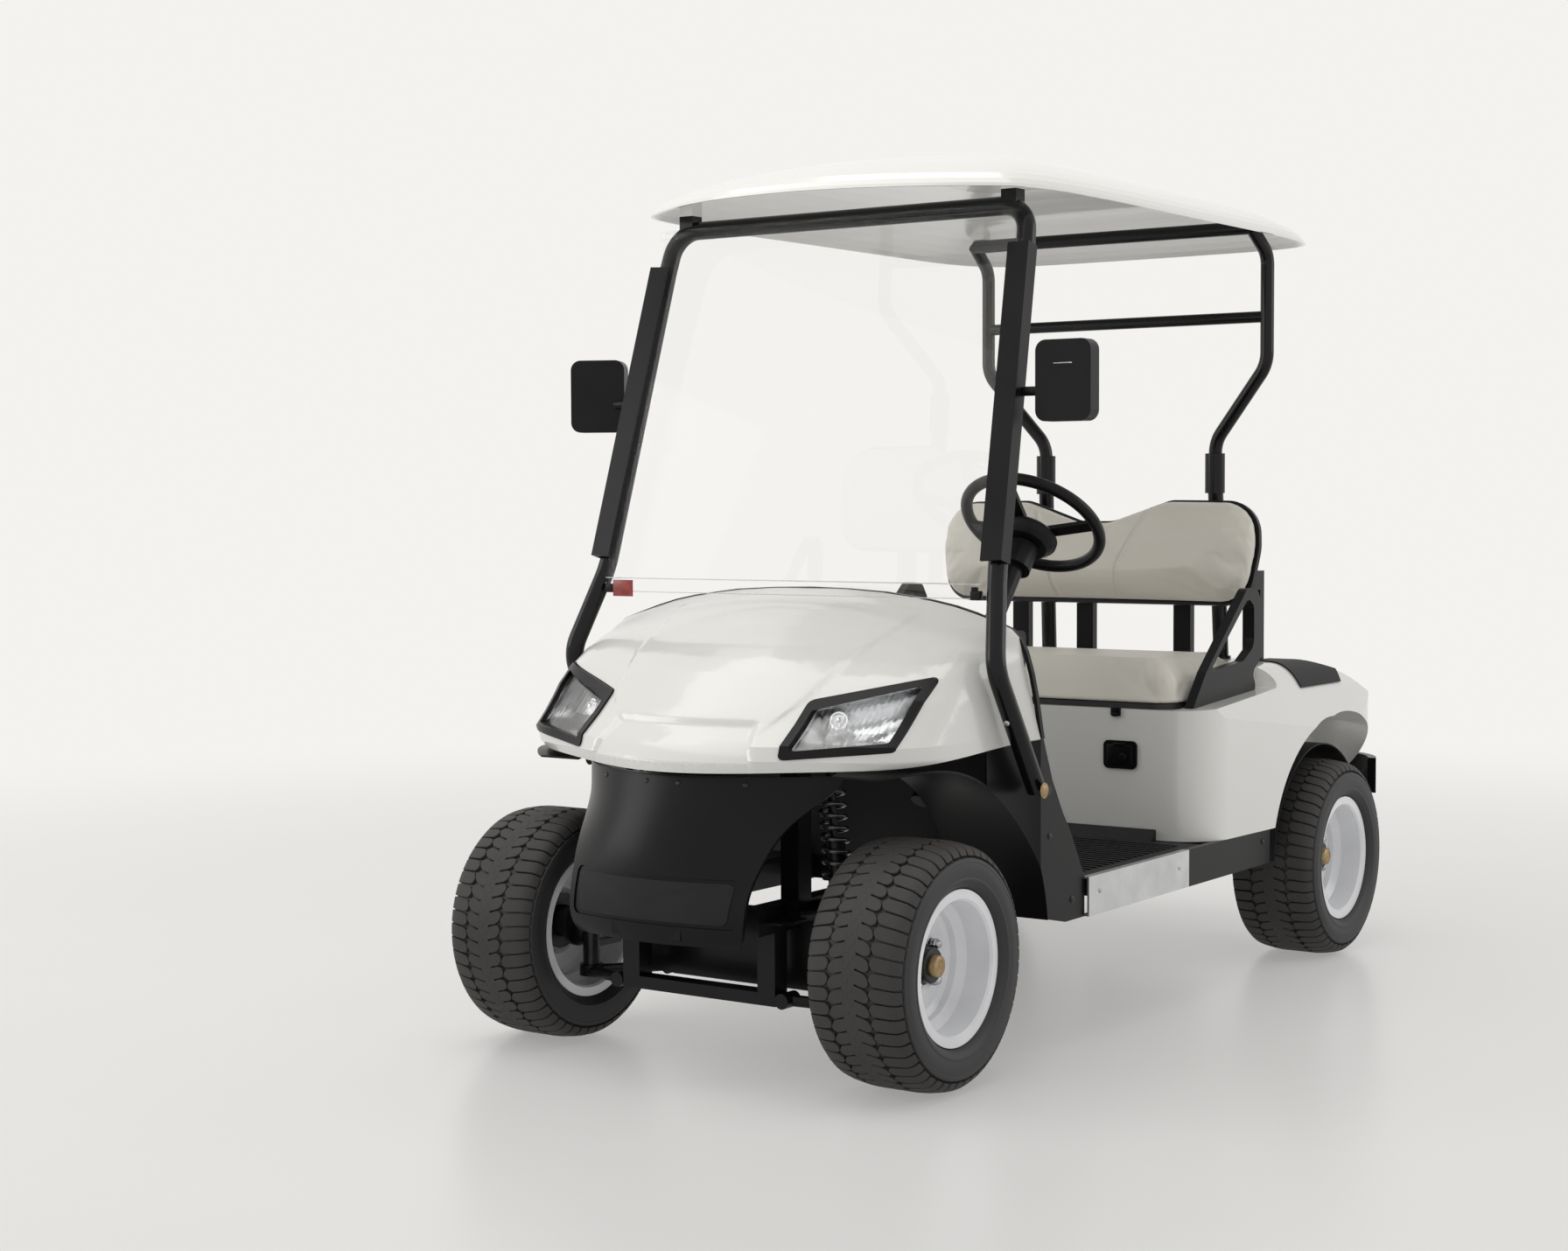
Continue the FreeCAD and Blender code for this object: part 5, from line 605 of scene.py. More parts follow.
nutPiece = acornNut()
capPiece = capMesh()
for wheel, (x, y, side) in wheelPlaces.items():
    body = "wheel_" + wheel
    place = Matrix.Translation((x, y, tyre["wheelZ"])) @ turned(0 if side > 0 else 180, "Z")
    nuts, darkParts = [], []
    for i in range(hub["nuts"]):
        angle = math.pi / 4 + math.pi / 2 * i
        spot = (hub["nutOut"], hub["nutCircle"] * math.cos(angle), hub["nutCircle"] * math.sin(angle))
        nuts.append(moved(nutPiece, place @ Matrix.Translation(spot)))
        angle += math.radians(hub["boltTurn"])
        spot = (hub["boltOut"], hub["boltCircle"] * math.cos(angle), hub["boltCircle"] * math.sin(angle))
        head = roundHead("discBolt", (0, 0, 0), (1, 0, 0), 0.0068, 0.0042, 16)
        darkParts.append(moved(head, place @ Matrix.Translation(spot)))
    stem = lathe("valve", [(0.0, 0), (0.0, 0.0055), (0.006, 0.0055), (0.008, 0.004), (0.026, 0.0038),
                           (0.027, 0.0045),
                           (0.034, 0.0045), (0.035, 0.0030), (0.035, 0)], 20)
    spot = Matrix.Translation((hub["valveOut"], hub["valveCircle"] * math.cos(hub["valveAngle"]),
                               hub["valveCircle"] * math.sin(hub["valveAngle"])))
    darkParts.append(moved(stem, place @ spot @ turned(hub["valveLean"], "Y")))
    collar = lathe("hubCollar", [(0.0110, 0.030), (0.0110, 0.0385), (0.0165, 0.0385), (0.0185, 0.0362),
                                 (0.0185, 0.030)],
                   56, closed=True, sharpAngle=30)
    darkParts.append(moved(collar, place))
    addObject("hubCap_" + wheel, moved(capPiece, place), finishes["capBrass"], body)
    addObject("wheelNuts_" + wheel, joined("wheelNuts", nuts, 25), finishes["nutSteel"], body)
    addObject("wheelBolts_" + wheel, joined("wheelBolts", darkParts, 30), finishes["hubIron"], body)
print("wheel fittings made")

# ---- front springs: a wound coil with a seat at each end over the damper
coil = {"lowX": 0.258, "lowZ": 0.335, "topX": 0.236, "topZ": 0.590, "from": 0.372, "to": 0.560,
        "radius": 0.0242, "wire": 0.0046, "turns": 7.5}


def springSet():
    low = Vector((coil["lowX"], frontAxleY, coil["lowZ"]))
    top = Vector((coil["topX"], frontAxleY, coil["topZ"]))
    along = (top - low).normalized()
    start = low + along * ((coil["from"] - low.z) / along.z)
    end = low + along * ((coil["to"] - low.z) / along.z)
    length = (end - start).length
    seat = 0.005
    wound = runTree("springCoil", woundCoil, {
        "Turns": coil["turns"], "Radius": coil["radius"], "Length": length - seat * 2 - coil["wire"] * 2,
        "Wire": coil["wire"], "Steps": 30, "Material": finishes["springBlack"]})
    wound.transform(aimed(start + along * (seat + coil["wire"]), end))
    reach = coil["radius"] + coil["wire"]
    lowSeat = roundBar("lowSeat", start, start + along * seat, reach, 40, 0.0012)
    topSeat = roundBar("topSeat", end - along * seat, end, reach, 40, 0.0012)
    return joined("springSet", [wound, lowSeat, topSeat], 32)


leftSpring = springSet()
rightSpring = moved(leftSpring, Matrix.Diagonal((-1, 1, 1, 1)))
springs = addObject("springCoils", joined("springCoils", [leftSpring, rightSpring], 32),
                    finishes["springBlack"],
                    "chassis")
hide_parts("front_springs")
print("springs wound")


# ---- seat: cushions blown up as cloth from their own outlines
def roundedOutline(corners, steps=7):
    # a closed outline whose corners (across, up, radius) are arcs
    points = []
    count = len(corners)
    for i, (u, v, radius) in enumerate(corners):
        here = Vector((u, v))
        before = (Vector(corners[i - 1][:2]) - here).normalized()
        after = (Vector(corners[(i + 1) % count][:2]) - here).normalized()
        half = before.angle(after) / 2
        reach = radius / math.tan(half)
        first, last = here + before * reach, here + after * reach
        middle = here + (before + after).normalized() * (radius / math.sin(half))
        for step in range(steps):
            share = step / (steps - 1)
            spoke = (first - middle).lerp(last - middle, share)
            points.append(middle + spoke.normalized() * radius)
    return points


def stackedRings(name, rings):
    # closed rings of equal count joined into one capped skin
    count = len(rings[0])
    points = [p for ring in rings for p in ring]
    faces = []
    for row in range(len(rings) - 1):
        for i in range(count):
            j = (i + 1) % count
            faces.append((row * count + i, row * count + j, (row + 1) * count + j, (row + 1) * count + i))
    faces.append(tuple(reversed(range(count))))
    faces.append(tuple(range((len(rings) - 1) * count, len(rings) * count)))
    return tidied(meshFrom(name, points, faces))


def voxelled(name, mesh, voxel):
    work = addObject(name + "_work", mesh)
    remesh = work.modifiers.new("remesh", "REMESH")
    remesh.mode = "VOXEL"
    remesh.voxel_size = voxel
    return evaluated(name, work)


def relaxed(name, mesh, rounds):
    work = addObject(name + "_work", mesh)
    smooth = work.modifiers.new("smooth", "SMOOTH")
    smooth.factor = 0.5
    smooth.iterations = rounds
    return evaluated(name, work)


def puffed(name, mesh, settings, pinned):
    # cloth under pressure, held where pinned says, with its travel capped
    work = addObject(name + "_cloth", mesh)
    rest = np.array([v.co for v in mesh.vertices])
    held = work.vertex_groups.new(name="held")
    held.add([i for i, p in enumerate(rest) if pinned(p)], 1.0, "REPLACE")
    cloth = work.modifiers.new("cloth", "CLOTH")
    cloth.settings.quality = 5
    cloth.settings.mass = 0.3
    cloth.settings.use_pressure = True
    cloth.settings.uniform_pressure_force = settings["pressure"]
    cloth.settings.effector_weights.gravity = 0
    cloth.settings.vertex_group_mass = "held"
    cloth.point_cache.frame_start = 1
    cloth.point_cache.frame_end = settings["frames"]
    scene = bpy.context.scene
    for step in range(1, settings["frames"] + 1):
        scene.frame_set(step)
    blown = evaluated(name, work)
    scene.frame_set(1)
    after = np.array([v.co for v in blown.vertices])
    travel = after - rest
    length = np.linalg.norm(travel, axis=1, keepdims=True)
    travel *= np.minimum(1, settings["cap"] / np.maximum(length, 1e-9))
    blown.vertices.foreach_set("co", (rest + travel).astype(np.float32).ravel())
    blown.update()
    return blown


def subdivided(name, mesh, levels=1):
    work = addObject(name + "_work", mesh)
    finer = work.modifiers.new("finer", "SUBSURF")
    finer.levels = finer.render_levels = levels
    return evaluated(name, work)


def pointsOf(mesh):
    return np.array([v.co for v in mesh.vertices])


def setPoints(mesh, points):
    mesh.vertices.foreach_set("co", points.astype(np.float32).ravel())
    mesh.update()


seat = {"halfWidth": 0.4285, "front": 0.136, "rear": 0.507, "low": 0.6312, "corner": 0.058, "voxel": 0.006,
        "pressure": 4.0, "frames": 20, "cap": 0.026, "top": 0.7275, "start": 0.0075,
        "sideStop": 0.4315, "frontStop": 0.1325, "rearStop": 0.5105}
seatLevels = [  # height above the board, inset
    (0.0000, 0.0030), (0.0030, 0.0004), (0.0100, 0.0000), (0.0440, 0.0000), (0.0580, 0.0026),
    (0.0690, 0.0080),
    (0.0780, 0.0170), (0.0835, 0.0280), (0.0860, 0.0430), (0.0868, 0.0620)]


def seatOutline(inset):
    h, f, r = seat["halfWidth"] - inset, seat["front"] + inset, seat["rear"] - inset
    c = max(seat["corner"] - inset, 0.012)
    rear = max(seat["corner"] * 0.5 - inset, 0.008)
    return roundedOutline([(-h, f, c), (h, f, c), (h, r, rear), (-h, r, rear)])


def makeSeat():
    rings = []
    for height, inset in seatLevels:
        rings.append([(u, v, seat["low"] + height) for u,
                      v in seatOutline(inset + seat["start"] * (height > 0.005))])
    mesh = voxelled("seatPad", stackedRings("seatPad", rings), seat["voxel"])
    mesh = puffed("seatPad", mesh, seat, lambda p: p[2] < seat["low"] + 0.006)
    mesh = relaxed("seatPad", mesh, 4)
    points = pointsOf(mesh)
    points[:, 2] = np.clip(points[:, 2], seat["low"], seat["top"])
    points[:, 0] = np.clip(points[:, 0], -seat["sideStop"], seat["sideStop"])
    points[:, 1] = np.clip(points[:, 1], seat["frontStop"], seat["rearStop"])
    setPoints(mesh, points)
    return shade(mesh, 80)


seatPad = addObject("seatPad", makeSeat(), finishes["seatVinyl"], "seat_lid")
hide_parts("seat_cushion")
print("seat cushion made")

back = {"halfWidth": 0.423, "low": 0.840, "high": 1.085, "dip": 0.048, "corner": 0.072, "front": 0.519,
        "thickness": 0.062, "lean": 9, "voxel": 0.006, "pressure": 4.0, "frames": 20, "cap": 0.024,
        "start": 0.005,
        "frontStop": -0.004, "seamDepth": 0.0030, "seamWidth": 0.0042, "seamReach": 0.045}
backLevels = [  # depth behind the front plane, inset
    (0.0100, 0.0560), (0.0112, 0.0400), (0.0145, 0.0270), (0.0200, 0.0160), (0.0280, 0.0070),
    (0.0370, 0.0018),
    (0.0460, 0.0000), (0.0560, 0.0000), (0.0600, 0.0012), (0.0615, 0.0040)]
seamLine = [(0.081, 0.838), (0.083, 0.860), (0.090, 0.926), (0.120, 0.993), (0.150, 1.055), (0.170, 1.095)]


def backOutline(inset):
    half, low, high = back["halfWidth"] - inset, back["low"] + inset, back["high"] - inset
    corner = back["corner"]
    rise = high - low
    less = inset * 0.7
    right = [(half * 0.955, low, corner - less), (half, low + rise * 0.55, corner * 2),
             (half * 0.975, high, corner * 1.15 - less), (half * 0.45, high + back["dip"] * 0.06, corner),
             (half * 0.10, high - back["dip"], corner * 1.2)]
    return roundedOutline(right + [(-u, v, r) for u, v, r in reversed(right)])


def leanedPoint(u, depth, v):
    # a point of the seat back, leaned about the foot of its front
    a = math.radians(back["lean"])
    rise = v - back["low"]
    return (u, back["front"] + depth * math.cos(a) + rise * math.sin(a),
            back["low"] - depth * math.sin(a) + rise * math.cos(a))


def seamAcross(height):
    table = seamLine
    return float(np.interp(height, [z for _, z in table], [x for x, _ in table]))


def makeBack():
    rings = []
    for depth, inset in backLevels:
        rings.append([leanedPoint(u, depth, v) for u, v in backOutline(inset + back["start"])])
    mesh = voxelled("backPad", stackedRings("backPad", rings), back["voxel"])
    a = math.radians(back["lean"])
    outward = np.array([0, math.cos(a), -math.sin(a)])
    foot = np.array([0, back["front"], back["low"]])
    mesh = puffed("backPad", mesh, back, lambda p: (p - foot) @ outward > back["thickness"] - 0.008)
    mesh = relaxed("backPad", mesh, 4)
    points = pointsOf(mesh)
    depth = (points - foot) @ outward
    low = np.minimum(depth - back["frontStop"], 0)
    points -= low[:, None] * outward
    over = np.maximum(depth - (back["thickness"] - 0.0003), 0)
    points -= over[:, None] * outward
    setPoints(mesh, points)
    mesh = subdivided("backPad", mesh)
    points = pointsOf(mesh)
    depth = (points - foot) @ outward
    seamX = np.array([seamAcross(z) for z in points[:, 2]])
    away = np.minimum(np.abs(points[:, 0] - seamX), np.abs(points[:, 0] + seamX))
    groove = back["seamDepth"] * np.exp(-(away / back["seamWidth"]) ** 2) * (depth < back["seamReach"])
    points += groove[:, None] * outward
    setPoints(mesh, points)
    return shade(mesh, 80)


backPad = addObject("backPad", makeBack(), finishes["seatVinyl"], "chassis")
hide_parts("seat_back_cushion")


# stitches along both seams, laid on the pad's own surface
stitch = {"low": 0.850, "high": 1.062, "points": 60, "pitch": 0.0075, "beside": 0.0062, "proud": 0.0002}


def onPad(pad, x, z, start=0.30):
    hit, place, normal, _ = pad.ray_cast(Vector((x, start, z)), Vector((0, 1, 0)))
    return (place, normal) if hit else (None, None)


def stitchesFor(pad):
    pad.data.update()
    bpy.context.view_layer.update()
    thread = roundBar("thread", (-0.0026, 0, 0), (0.0026, 0, 0), 0.0007, 8, 0.0003)
    thread.transform(turned(90, "Y"))
    block = addObject("threadWork", thread)
    parts = []
    for side in (1, -1):
        path = []
        for i in range(stitch["points"]):
            z = stitch["low"] + (stitch["high"] - stitch["low"]) * i / (stitch["points"] - 1)
            place, normal = onPad(pad, side * (seamAcross(z) + stitch["beside"]), z)
            if place:
                path.append(place + normal * stitch["proud"])
        line = bpy.data.meshes.new("seamPath")
        line.from_pydata(path, [(i, i + 1) for i in range(len(path) - 1)], [])
        parts.append(runTree("stitches", blocksOnPath, {"Pitch": stitch["pitch"], "Block": block,
                                                        "Material": finishes["seatThread"]}, line))
    bpy.data.objects.remove(block)
    return joined("backStitches", parts, 40)


addObject("backStitches", stitchesFor(backPad), finishes["seatThread"], "chassis")
print("seat back made")


# ---- cowl: the CAD skin cut finer, with its two creases and the nose recess pressed in
cowl = {"creaseLift": 0.0040, "creaseWidth": 0.012, "recessDepth": 0.0080, "recessTop": 0.667,
        "recessFoot": 0.599,
        "centre": (0, -0.60, 0.40), "recessBack": -0.95, "facing": 0.05,
        "acrossCuts": (-0.312, 0.006, 105), "upCuts": (0.596, 0.004, 26), "alongCuts": (-1.06, 0.02, 21)}
creaseLine = [(0.640, 0.168), (0.667, 0.188), (0.7075, 0.219), (0.791, 0.258), (0.858, 0.289), (0.900, 0.300)]


def softStep(low, high, value):
    share = np.clip((value - low) / (high - low), 0, 1)
    return share * share * (3 - 2 * share)


def pressed(points):
    # how far each point of the skin moves along its normal
    x, y, z = np.abs(points[:, 0]), points[:, 1], points[:, 2]
    crease = np.interp(z, [p[0] for p in creaseLine], [p[1] for p in creaseLine])
    width = cowl["creaseWidth"] / 2
    lift = cowl["creaseLift"] * (1 - softStep(crease - width, crease + width, x))
    lift *= softStep(0.630, 0.690, z) * (1 - softStep(-0.700, -0.655, y))
    inner = np.interp(z, [0.605, 0.667], [0.174, 0.147])
    outer = np.interp(z, [0.605, 0.687], [0.190, 0.166])
    sink = (1 - softStep(inner, outer, x)) * (1 - softStep(cowl["recessTop"] - 0.004,
                                                           cowl["recessTop"] + 0.006, z))
    sink *= softStep(cowl["recessFoot"] - 0.006, cowl["recessFoot"] + 0.004, z) * (y < cowl["recessBack"])
    return lift - cowl["recessDepth"] * sink


def makeCowl():
    mesh = copyOfNode("cowlSkin", "front_cowl")
    work = bmesh.new()
    work.from_mesh(mesh)
    centre = Vector(cowl["centre"])
    cuts = []
    for key, direction in (("acrossCuts", (1, 0, 0)), ("upCuts", (0, 0, 1)), ("alongCuts", (0, 1, 0))):
        start, pitch, count = cowl[key]
        cuts += [(Vector(direction) * (start + pitch * step), direction) for step in range(count)]
    for place, normal in cuts:
        skin = [f for f in work.faces if (f.calc_center_median() - centre).dot(f.normal) > cowl["facing"]]
        geometry = skin + list({e for f in skin for e in f.edges}) + list({v for f in skin for v in f.verts})
        bmesh.ops.bisect_plane(work, geom=geometry, plane_co=place, plane_no=normal, dist=1e-6)
    work.to_mesh(mesh)
    work.free()
    points = pointsOf(mesh)
    normals = np.array([v.normal for v in mesh.vertices])
    outside = ((points - np.array(cowl["centre"])) * normals).sum(1) > cowl["facing"]
    setPoints(mesh, points + normals * (pressed(points) * outside)[:, None])
    return shade(mesh, 30)


cowlSkin = addObject("cowlSkin", makeCowl(), finishes["gelcoatWhite"], "chassis")
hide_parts("front_cowl")
print("cowl pressed:", len(cowlSkin.data.polygons), "faces")

# ---- headlamps: a thin fluted lens over a bright bowl with its bulb shield
lamp = {"lensWall": 0.0025, "fluteDepth": 0.0014, "flutePitch": 0.0105, "bowlWall": 0.0012,
        "cutPitch": 0.0035, "cuts": 120, "fluteReach": 0.40,
        "shield": (0.290, -0.962, 0.672), "shieldAim": (0.320, -1.05, 0.700)}


def walled(name, mesh, thickness, sharpAngle):
    # an open skin given its wall inwards
    work = addObject(name + "_work", mesh)
    wall = work.modifiers.new("wall", "SOLIDIFY")
    wall.thickness = thickness
    wall.offset = -1
    return shade(evaluated(name, work), sharpAngle)


def lampParts():
    source = copyOfNode("lampSource", "headlamps", 40)
    skins = {}
    for part in ("lens", "bowl"):
        work = bmesh.new()
        work.from_mesh(source)
        front = [f for f in work.faces if f.normal.y < -0.02]
        drop = [f for f in work.faces if f not in set(front)] if part == "lens" else front
        bmesh.ops.delete(work, geom=drop, context="FACES")
        if part == "lens":
            for step in range(-lamp["cuts"], lamp["cuts"] + 1):
                bmesh.ops.bisect_plane(work, geom=list(work.verts) + list(work.edges) + list(work.faces),
                                       plane_co=(step * lamp["cutPitch"], 0, 0), plane_no=(1, 0, 0),
                                       dist=1e-7)
            for v in work.verts:
                wave = math.cos(2 * math.pi * v.co.x / lamp["flutePitch"])
                if abs(v.co.x) < lamp["fluteReach"]:
                    v.co.y += lamp["fluteDepth"] * (0.5 + 0.5 * wave)
        else:
            bmesh.ops.reverse_faces(work, faces=work.faces)
        mesh = bpy.data.meshes.new("lamp_" + part)
        work.to_mesh(mesh)
        work.free()
        skins[part] = mesh
    return skins["lens"], skins["bowl"]


lensMesh, bowlMesh = lampParts()
lampLens = addObject("lampLens", walled("lampLens", lensMesh, lamp["lensWall"], 50), finishes["lampGlass"],
                     "chassis")
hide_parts("headlamps")
addObject("lampBowl", walled("lampBowl", bowlMesh, lamp["bowlWall"], 40), finishes["lampChrome"], "chassis")


def bulbShield(side):
    # a stepped bright cup behind the lens, aimed forwards
    profile = [(0.0, 0.0), (0.0, 0.015), (0.003, 0.017), (0.008, 0.017), (0.008, 0.014), (0.003, 0.011),
               (0.001, 0.007),
               (0.005, 0.006), (0.012, 0.005), (0.016, 0.003), (0.017, 0.0)]
    cup = lathe("bulbShield", profile, 48, "Z", sharpAngle=25)
    (x, y, z), (aimX, aimY, aimZ) = lamp["shield"], lamp["shieldAim"]
    cup.transform(aimed((x * side, y, z), (aimX * side, aimY, aimZ)))
    return cup


addObject("bulbShields", joined("bulbShields", [bulbShield(1), bulbShield(-1)], 30), finishes["lampChrome"],
          "chassis")
print("headlamps made")


# ---- pieces that are laid on a CAD surface
farAhead = -1.4  # in front of every piece


def landed(node, x, z):
    place = nodes[node].matrix_world.inverted() @ Vector((x, farAhead, z))
    hit, spot, normal, _ = nodes[node].ray_cast(place, Vector((0, 1, 0)))
    return (spot, normal) if hit else (None, None)


plate = {"half": 0.181, "low": 0.3085, "high": 0.3835, "corner": 0.012, "proud": 0.0026, "slant": 0.010}


def makePlate():
    # a blank raised plate that follows the bumper's bow
    rings = []
    middle = Vector((0, (plate["low"] + plate["high"]) / 2))
    corners = [(-plate["half"] + plate["slant"], plate["low"], plate["corner"]),
               (plate["half"] - plate["slant"], plate["low"], plate["corner"]),
               (plate["half"], plate["high"], plate["corner"]),
               (-plate["half"], plate["high"], plate["corner"])]
    outline = []
    rounded = roundedOutline(corners, 6)
    for a, b in zip(rounded, rounded[1:] + rounded[:1]):
        pieces = max(1, int((b - a).length / 0.012))
        outline += [a.lerp(b, i / pieces) for i in range(pieces)]
    for shrink, height in ((1.0, -0.001), (1.0, plate["proud"] - 0.0012), (0.992, plate["proud"]),
                           (0.93, plate["proud"]), (0.6, plate["proud"]), (0.3, plate["proud"]),
                           (0.02, plate["proud"])):
        ring = []
        for p in outline:
            q = middle + (p - middle) * shrink if shrink < 1 else p
            spot, normal = landed("front_bumper", q.x, q.y)
            ring.append(spot + normal * height)
        rings.append(ring)
    mesh = stackedRings("bumperPlate", rings)
    return shade(mesh, 40)


addObject("bumperPlate", makePlate(), finishes["matBlack"], "chassis")
print("bumper plate laid")


# ---- small hardware: place, direction, radius and height of each head, for the cart's left side
strutBolt = {"y": -0.660, "z": 0.531, "washer": 0.0150}
heads = {
    "brass": [((0.5520, strutBolt["y"], strutBolt["z"]), (1, 0, 0), 0.0115, 0.0045)],
    "steel": [((0.5140, -0.7370, 0.6620), (0.2, -0.85, -0.45), 0.0058, 0.0030),
              ((0.5183, -0.3700, 0.3000), (1, 0, 0), 0.0050, 0.0022),
              ((0.5183, -0.0100, 0.3000), (1, 0, 0), 0.0050, 0.0022)],
    "dark": [((0.5083, -0.4690, 0.2950), (1, 0, 0), 0.0075, 0.0035),
             ((0.5083, -0.5600, 0.4300), (1, 0, 0), 0.0065, 0.0030),
             ((0.5183, 0.4150, 0.3060), (1, 0, 0), 0.0075, 0.0035)],
}
bumperScrews = {"across": (0.037, 0.163, -0.037, -0.163), "z": 0.558, "radius": 0.0052, "height": 0.0026}


def headsFor(metal):
    # both sides' heads, mirrored across the middle
    made = []
    for side in (1, -1):
        for (x, y, z), (dx, dy, dz), radius, height in heads[metal]:
            made.append(roundHead("head", (x * side, y, z), (dx * side, dy, dz), radius, height))
    return made


washers = [roundBar("washer", (0.5505 * side, strutBolt["y"], strutBolt["z"]),
                    (0.5525 * side, strutBolt["y"], strutBolt["z"]), strutBolt["washer"], 32, 0.0005)
           for side in (1, -1)]
screws = []
for x in bumperScrews["across"]:
    spot, normal = landed("front_bumper", x, bumperScrews["z"])
    screws.append(roundHead("head", spot, normal, bumperScrews["radius"], bumperScrews["height"]))
addObject("brassBolts", joined("brassBolts", headsFor("brass") + washers, 30), finishes["capBrass"],
          "chassis")
addObject("steelScrews", joined("steelScrews", headsFor("steel"), 30), finishes["nutSteel"], "chassis")
addObject("darkBolts", joined("darkBolts", headsFor("dark") + screws, 30), finishes["hubIron"], "chassis")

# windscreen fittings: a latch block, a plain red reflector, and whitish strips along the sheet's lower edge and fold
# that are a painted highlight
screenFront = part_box("windscreen")[0].y
latch = [softBox("latchBlock", (0.022, 0.014, 0.018), (0.4400, -0.7215, 0.8985), 0.0025),
         softBox("latchKnob", (0.012, 0.010, 0.008), (0.4360, -0.7215, 0.9105), 0.0020),
         softBox("latchBlock", (0.022, 0.014, 0.018), (-0.4400, -0.7215, 0.8985), 0.0025)]
addObject("screenLatches", joined("screenLatches", latch, 40), finishes["mouldedBlack"], "chassis")
redPatch = softBox("screenReflector", (0.052, 0.0016, 0.034), (-0.4040, screenFront - 0.0010, 0.8990), 0.0006,
                   2)
addObject("screenReflector", redPatch, finishes["reflectorRed"], "chassis")
edges = [softBox("edge", (0.900, 0.0058, 0.0020), (0, screenFront + 0.0026, 0.8922), 0.0006, 2),
         softBox("edge", (0.900, 0.0020, 0.0026), (0, screenFront - 0.0004, 0.9200), 0.0006, 2)]
addObject("screenEdges", joined("screenEdges", edges, 40), finishes["paintedEdgeHighlight"], "chassis")

# a dark plate behind the front frame's bars: painted shade that fills the gaps between them
tray = [softBox("frontTray", (0.420, 0.003, 0.150), (0.010, -0.930, 0.232), 0.0010, 2),
        softBox("frontTray", (0.420, 0.120, 0.003), (0.010, -0.990, 0.300), 0.0010, 2)]
addObject("frontTray", joined("frontTray", tray, 40), finishes["frameBlack"], "chassis")

# wheel-arch liners: a dark shell just inside each rear arch
liner = {"radius": 0.268, "inner": 0.300, "outer": 0.505, "wall": 0.003, "steps": 36, "from": 4, "sweep": 172}
linerMeshes = []
for side in (1, -1):
    points, faces = [], []
    steps = liner["steps"]
    for i in range(steps + 1):
        angle = math.radians(liner["from"] + liner["sweep"] * i / steps)
        for radius in (liner["radius"], liner["radius"] - liner["wall"]):
            for x in (liner["inner"], liner["outer"]):
                points.append((x * side, rearAxleY + radius * math.cos(angle),
                               tyre["wheelZ"] + radius * math.sin(angle)))
    for i in range(steps):
        a, b = 4 * i, 4 * i + 4
        faces += [(a, a + 1, b + 1, b), (a + 2, b + 2, b + 3, a + 3),
                  (a, b, b + 2, a + 2), (a + 1, a + 3, b + 3, b + 1)]
    faces += [(0, 2, 3, 1), (4 * steps, 4 * steps + 1, 4 * steps + 3, 4 * steps + 2)]
    if side < 0:
        faces = [tuple(reversed(f)) for f in faces]
    linerMeshes.append(meshFrom("archLiner", points, faces, 40))
addObject("archLiners", joined("archLiners", linerMeshes, 40), finishes["matBlack"], "chassis")

# seat latch and charge port flap
seatLatch = [softBox("seatLatch", (0.024, 0.0055, 0.020), (0.298, 0.1240, 0.6120), 0.0018),
             softBox("seatLatch", (0.014, 0.0050, 0.008), (0.298, 0.1205, 0.6050), 0.0015)]
addObject("seatLatch", joined("seatLatch", seatLatch, 40), finishes["mouldedBlack"], "seat_lid")
port = [softBox("portFlap", (0.062, 0.0040, 0.044), (0.309, 0.1215, 0.517), 0.0016),
        softBox("portHinge", (0.030, 0.0050, 0.006), (0.309, 0.1200, 0.5400), 0.0015),
        roundBar("portKnob", (0.318, 0.1200, 0.512), (0.318, 0.1150, 0.512), 0.0085, 28, 0.0015)]
addObject("portFlap", joined("portFlap", port, 40), finishes["panelBlack"], "chassis")

# steering wheel: a dished centre cover with its collar, on the wheel's own axis
steer = {"centre": (0.208, -0.089, 1.028), "axis": (0, 0.639202, 0.76904)}
cover = lathe("wheelCover", [(-0.0195, 0), (-0.0200, 0.030), (-0.0215, 0.045), (-0.0255, 0.058),
                             (-0.0330, 0.066),
                             (-0.0420, 0.066), (-0.0520, 0.058), (-0.0600, 0.050), (-0.0605, 0)], 64, "Z",
                             sharpAngle=40)
cover.transform(aimed(steer["centre"], Vector(steer["centre"]) + Vector(steer["axis"])))
addObject("wheelCover", cover, finishes["mouldedBlack"], "steering_wheel_body")

# a narrow slot line across the back of the near mirror
slot = softBox("mirrorSlot", (0.040, 0.0012, 0.0022), (0.566, -0.6175, 1.3350), 0.0004, 1)
addObject("mirrorSlot", joined("mirrorSlot", [slot], 40), finishes["nutSteel"], "chassis")
print("hardware made")


# ---- floor, backdrop, light and camera
studio = {
    "floorColour": (0.74, 0.74, 0.735), "backColour": (0.905, 0.89, 0.868), "fadeStart": 1.6, "fadeEnd": 6.0,
    "nearGlow": 0.34,
    "worldStrength": 0.50, "overhead": 95, "side": 48, "rear": 34,
}


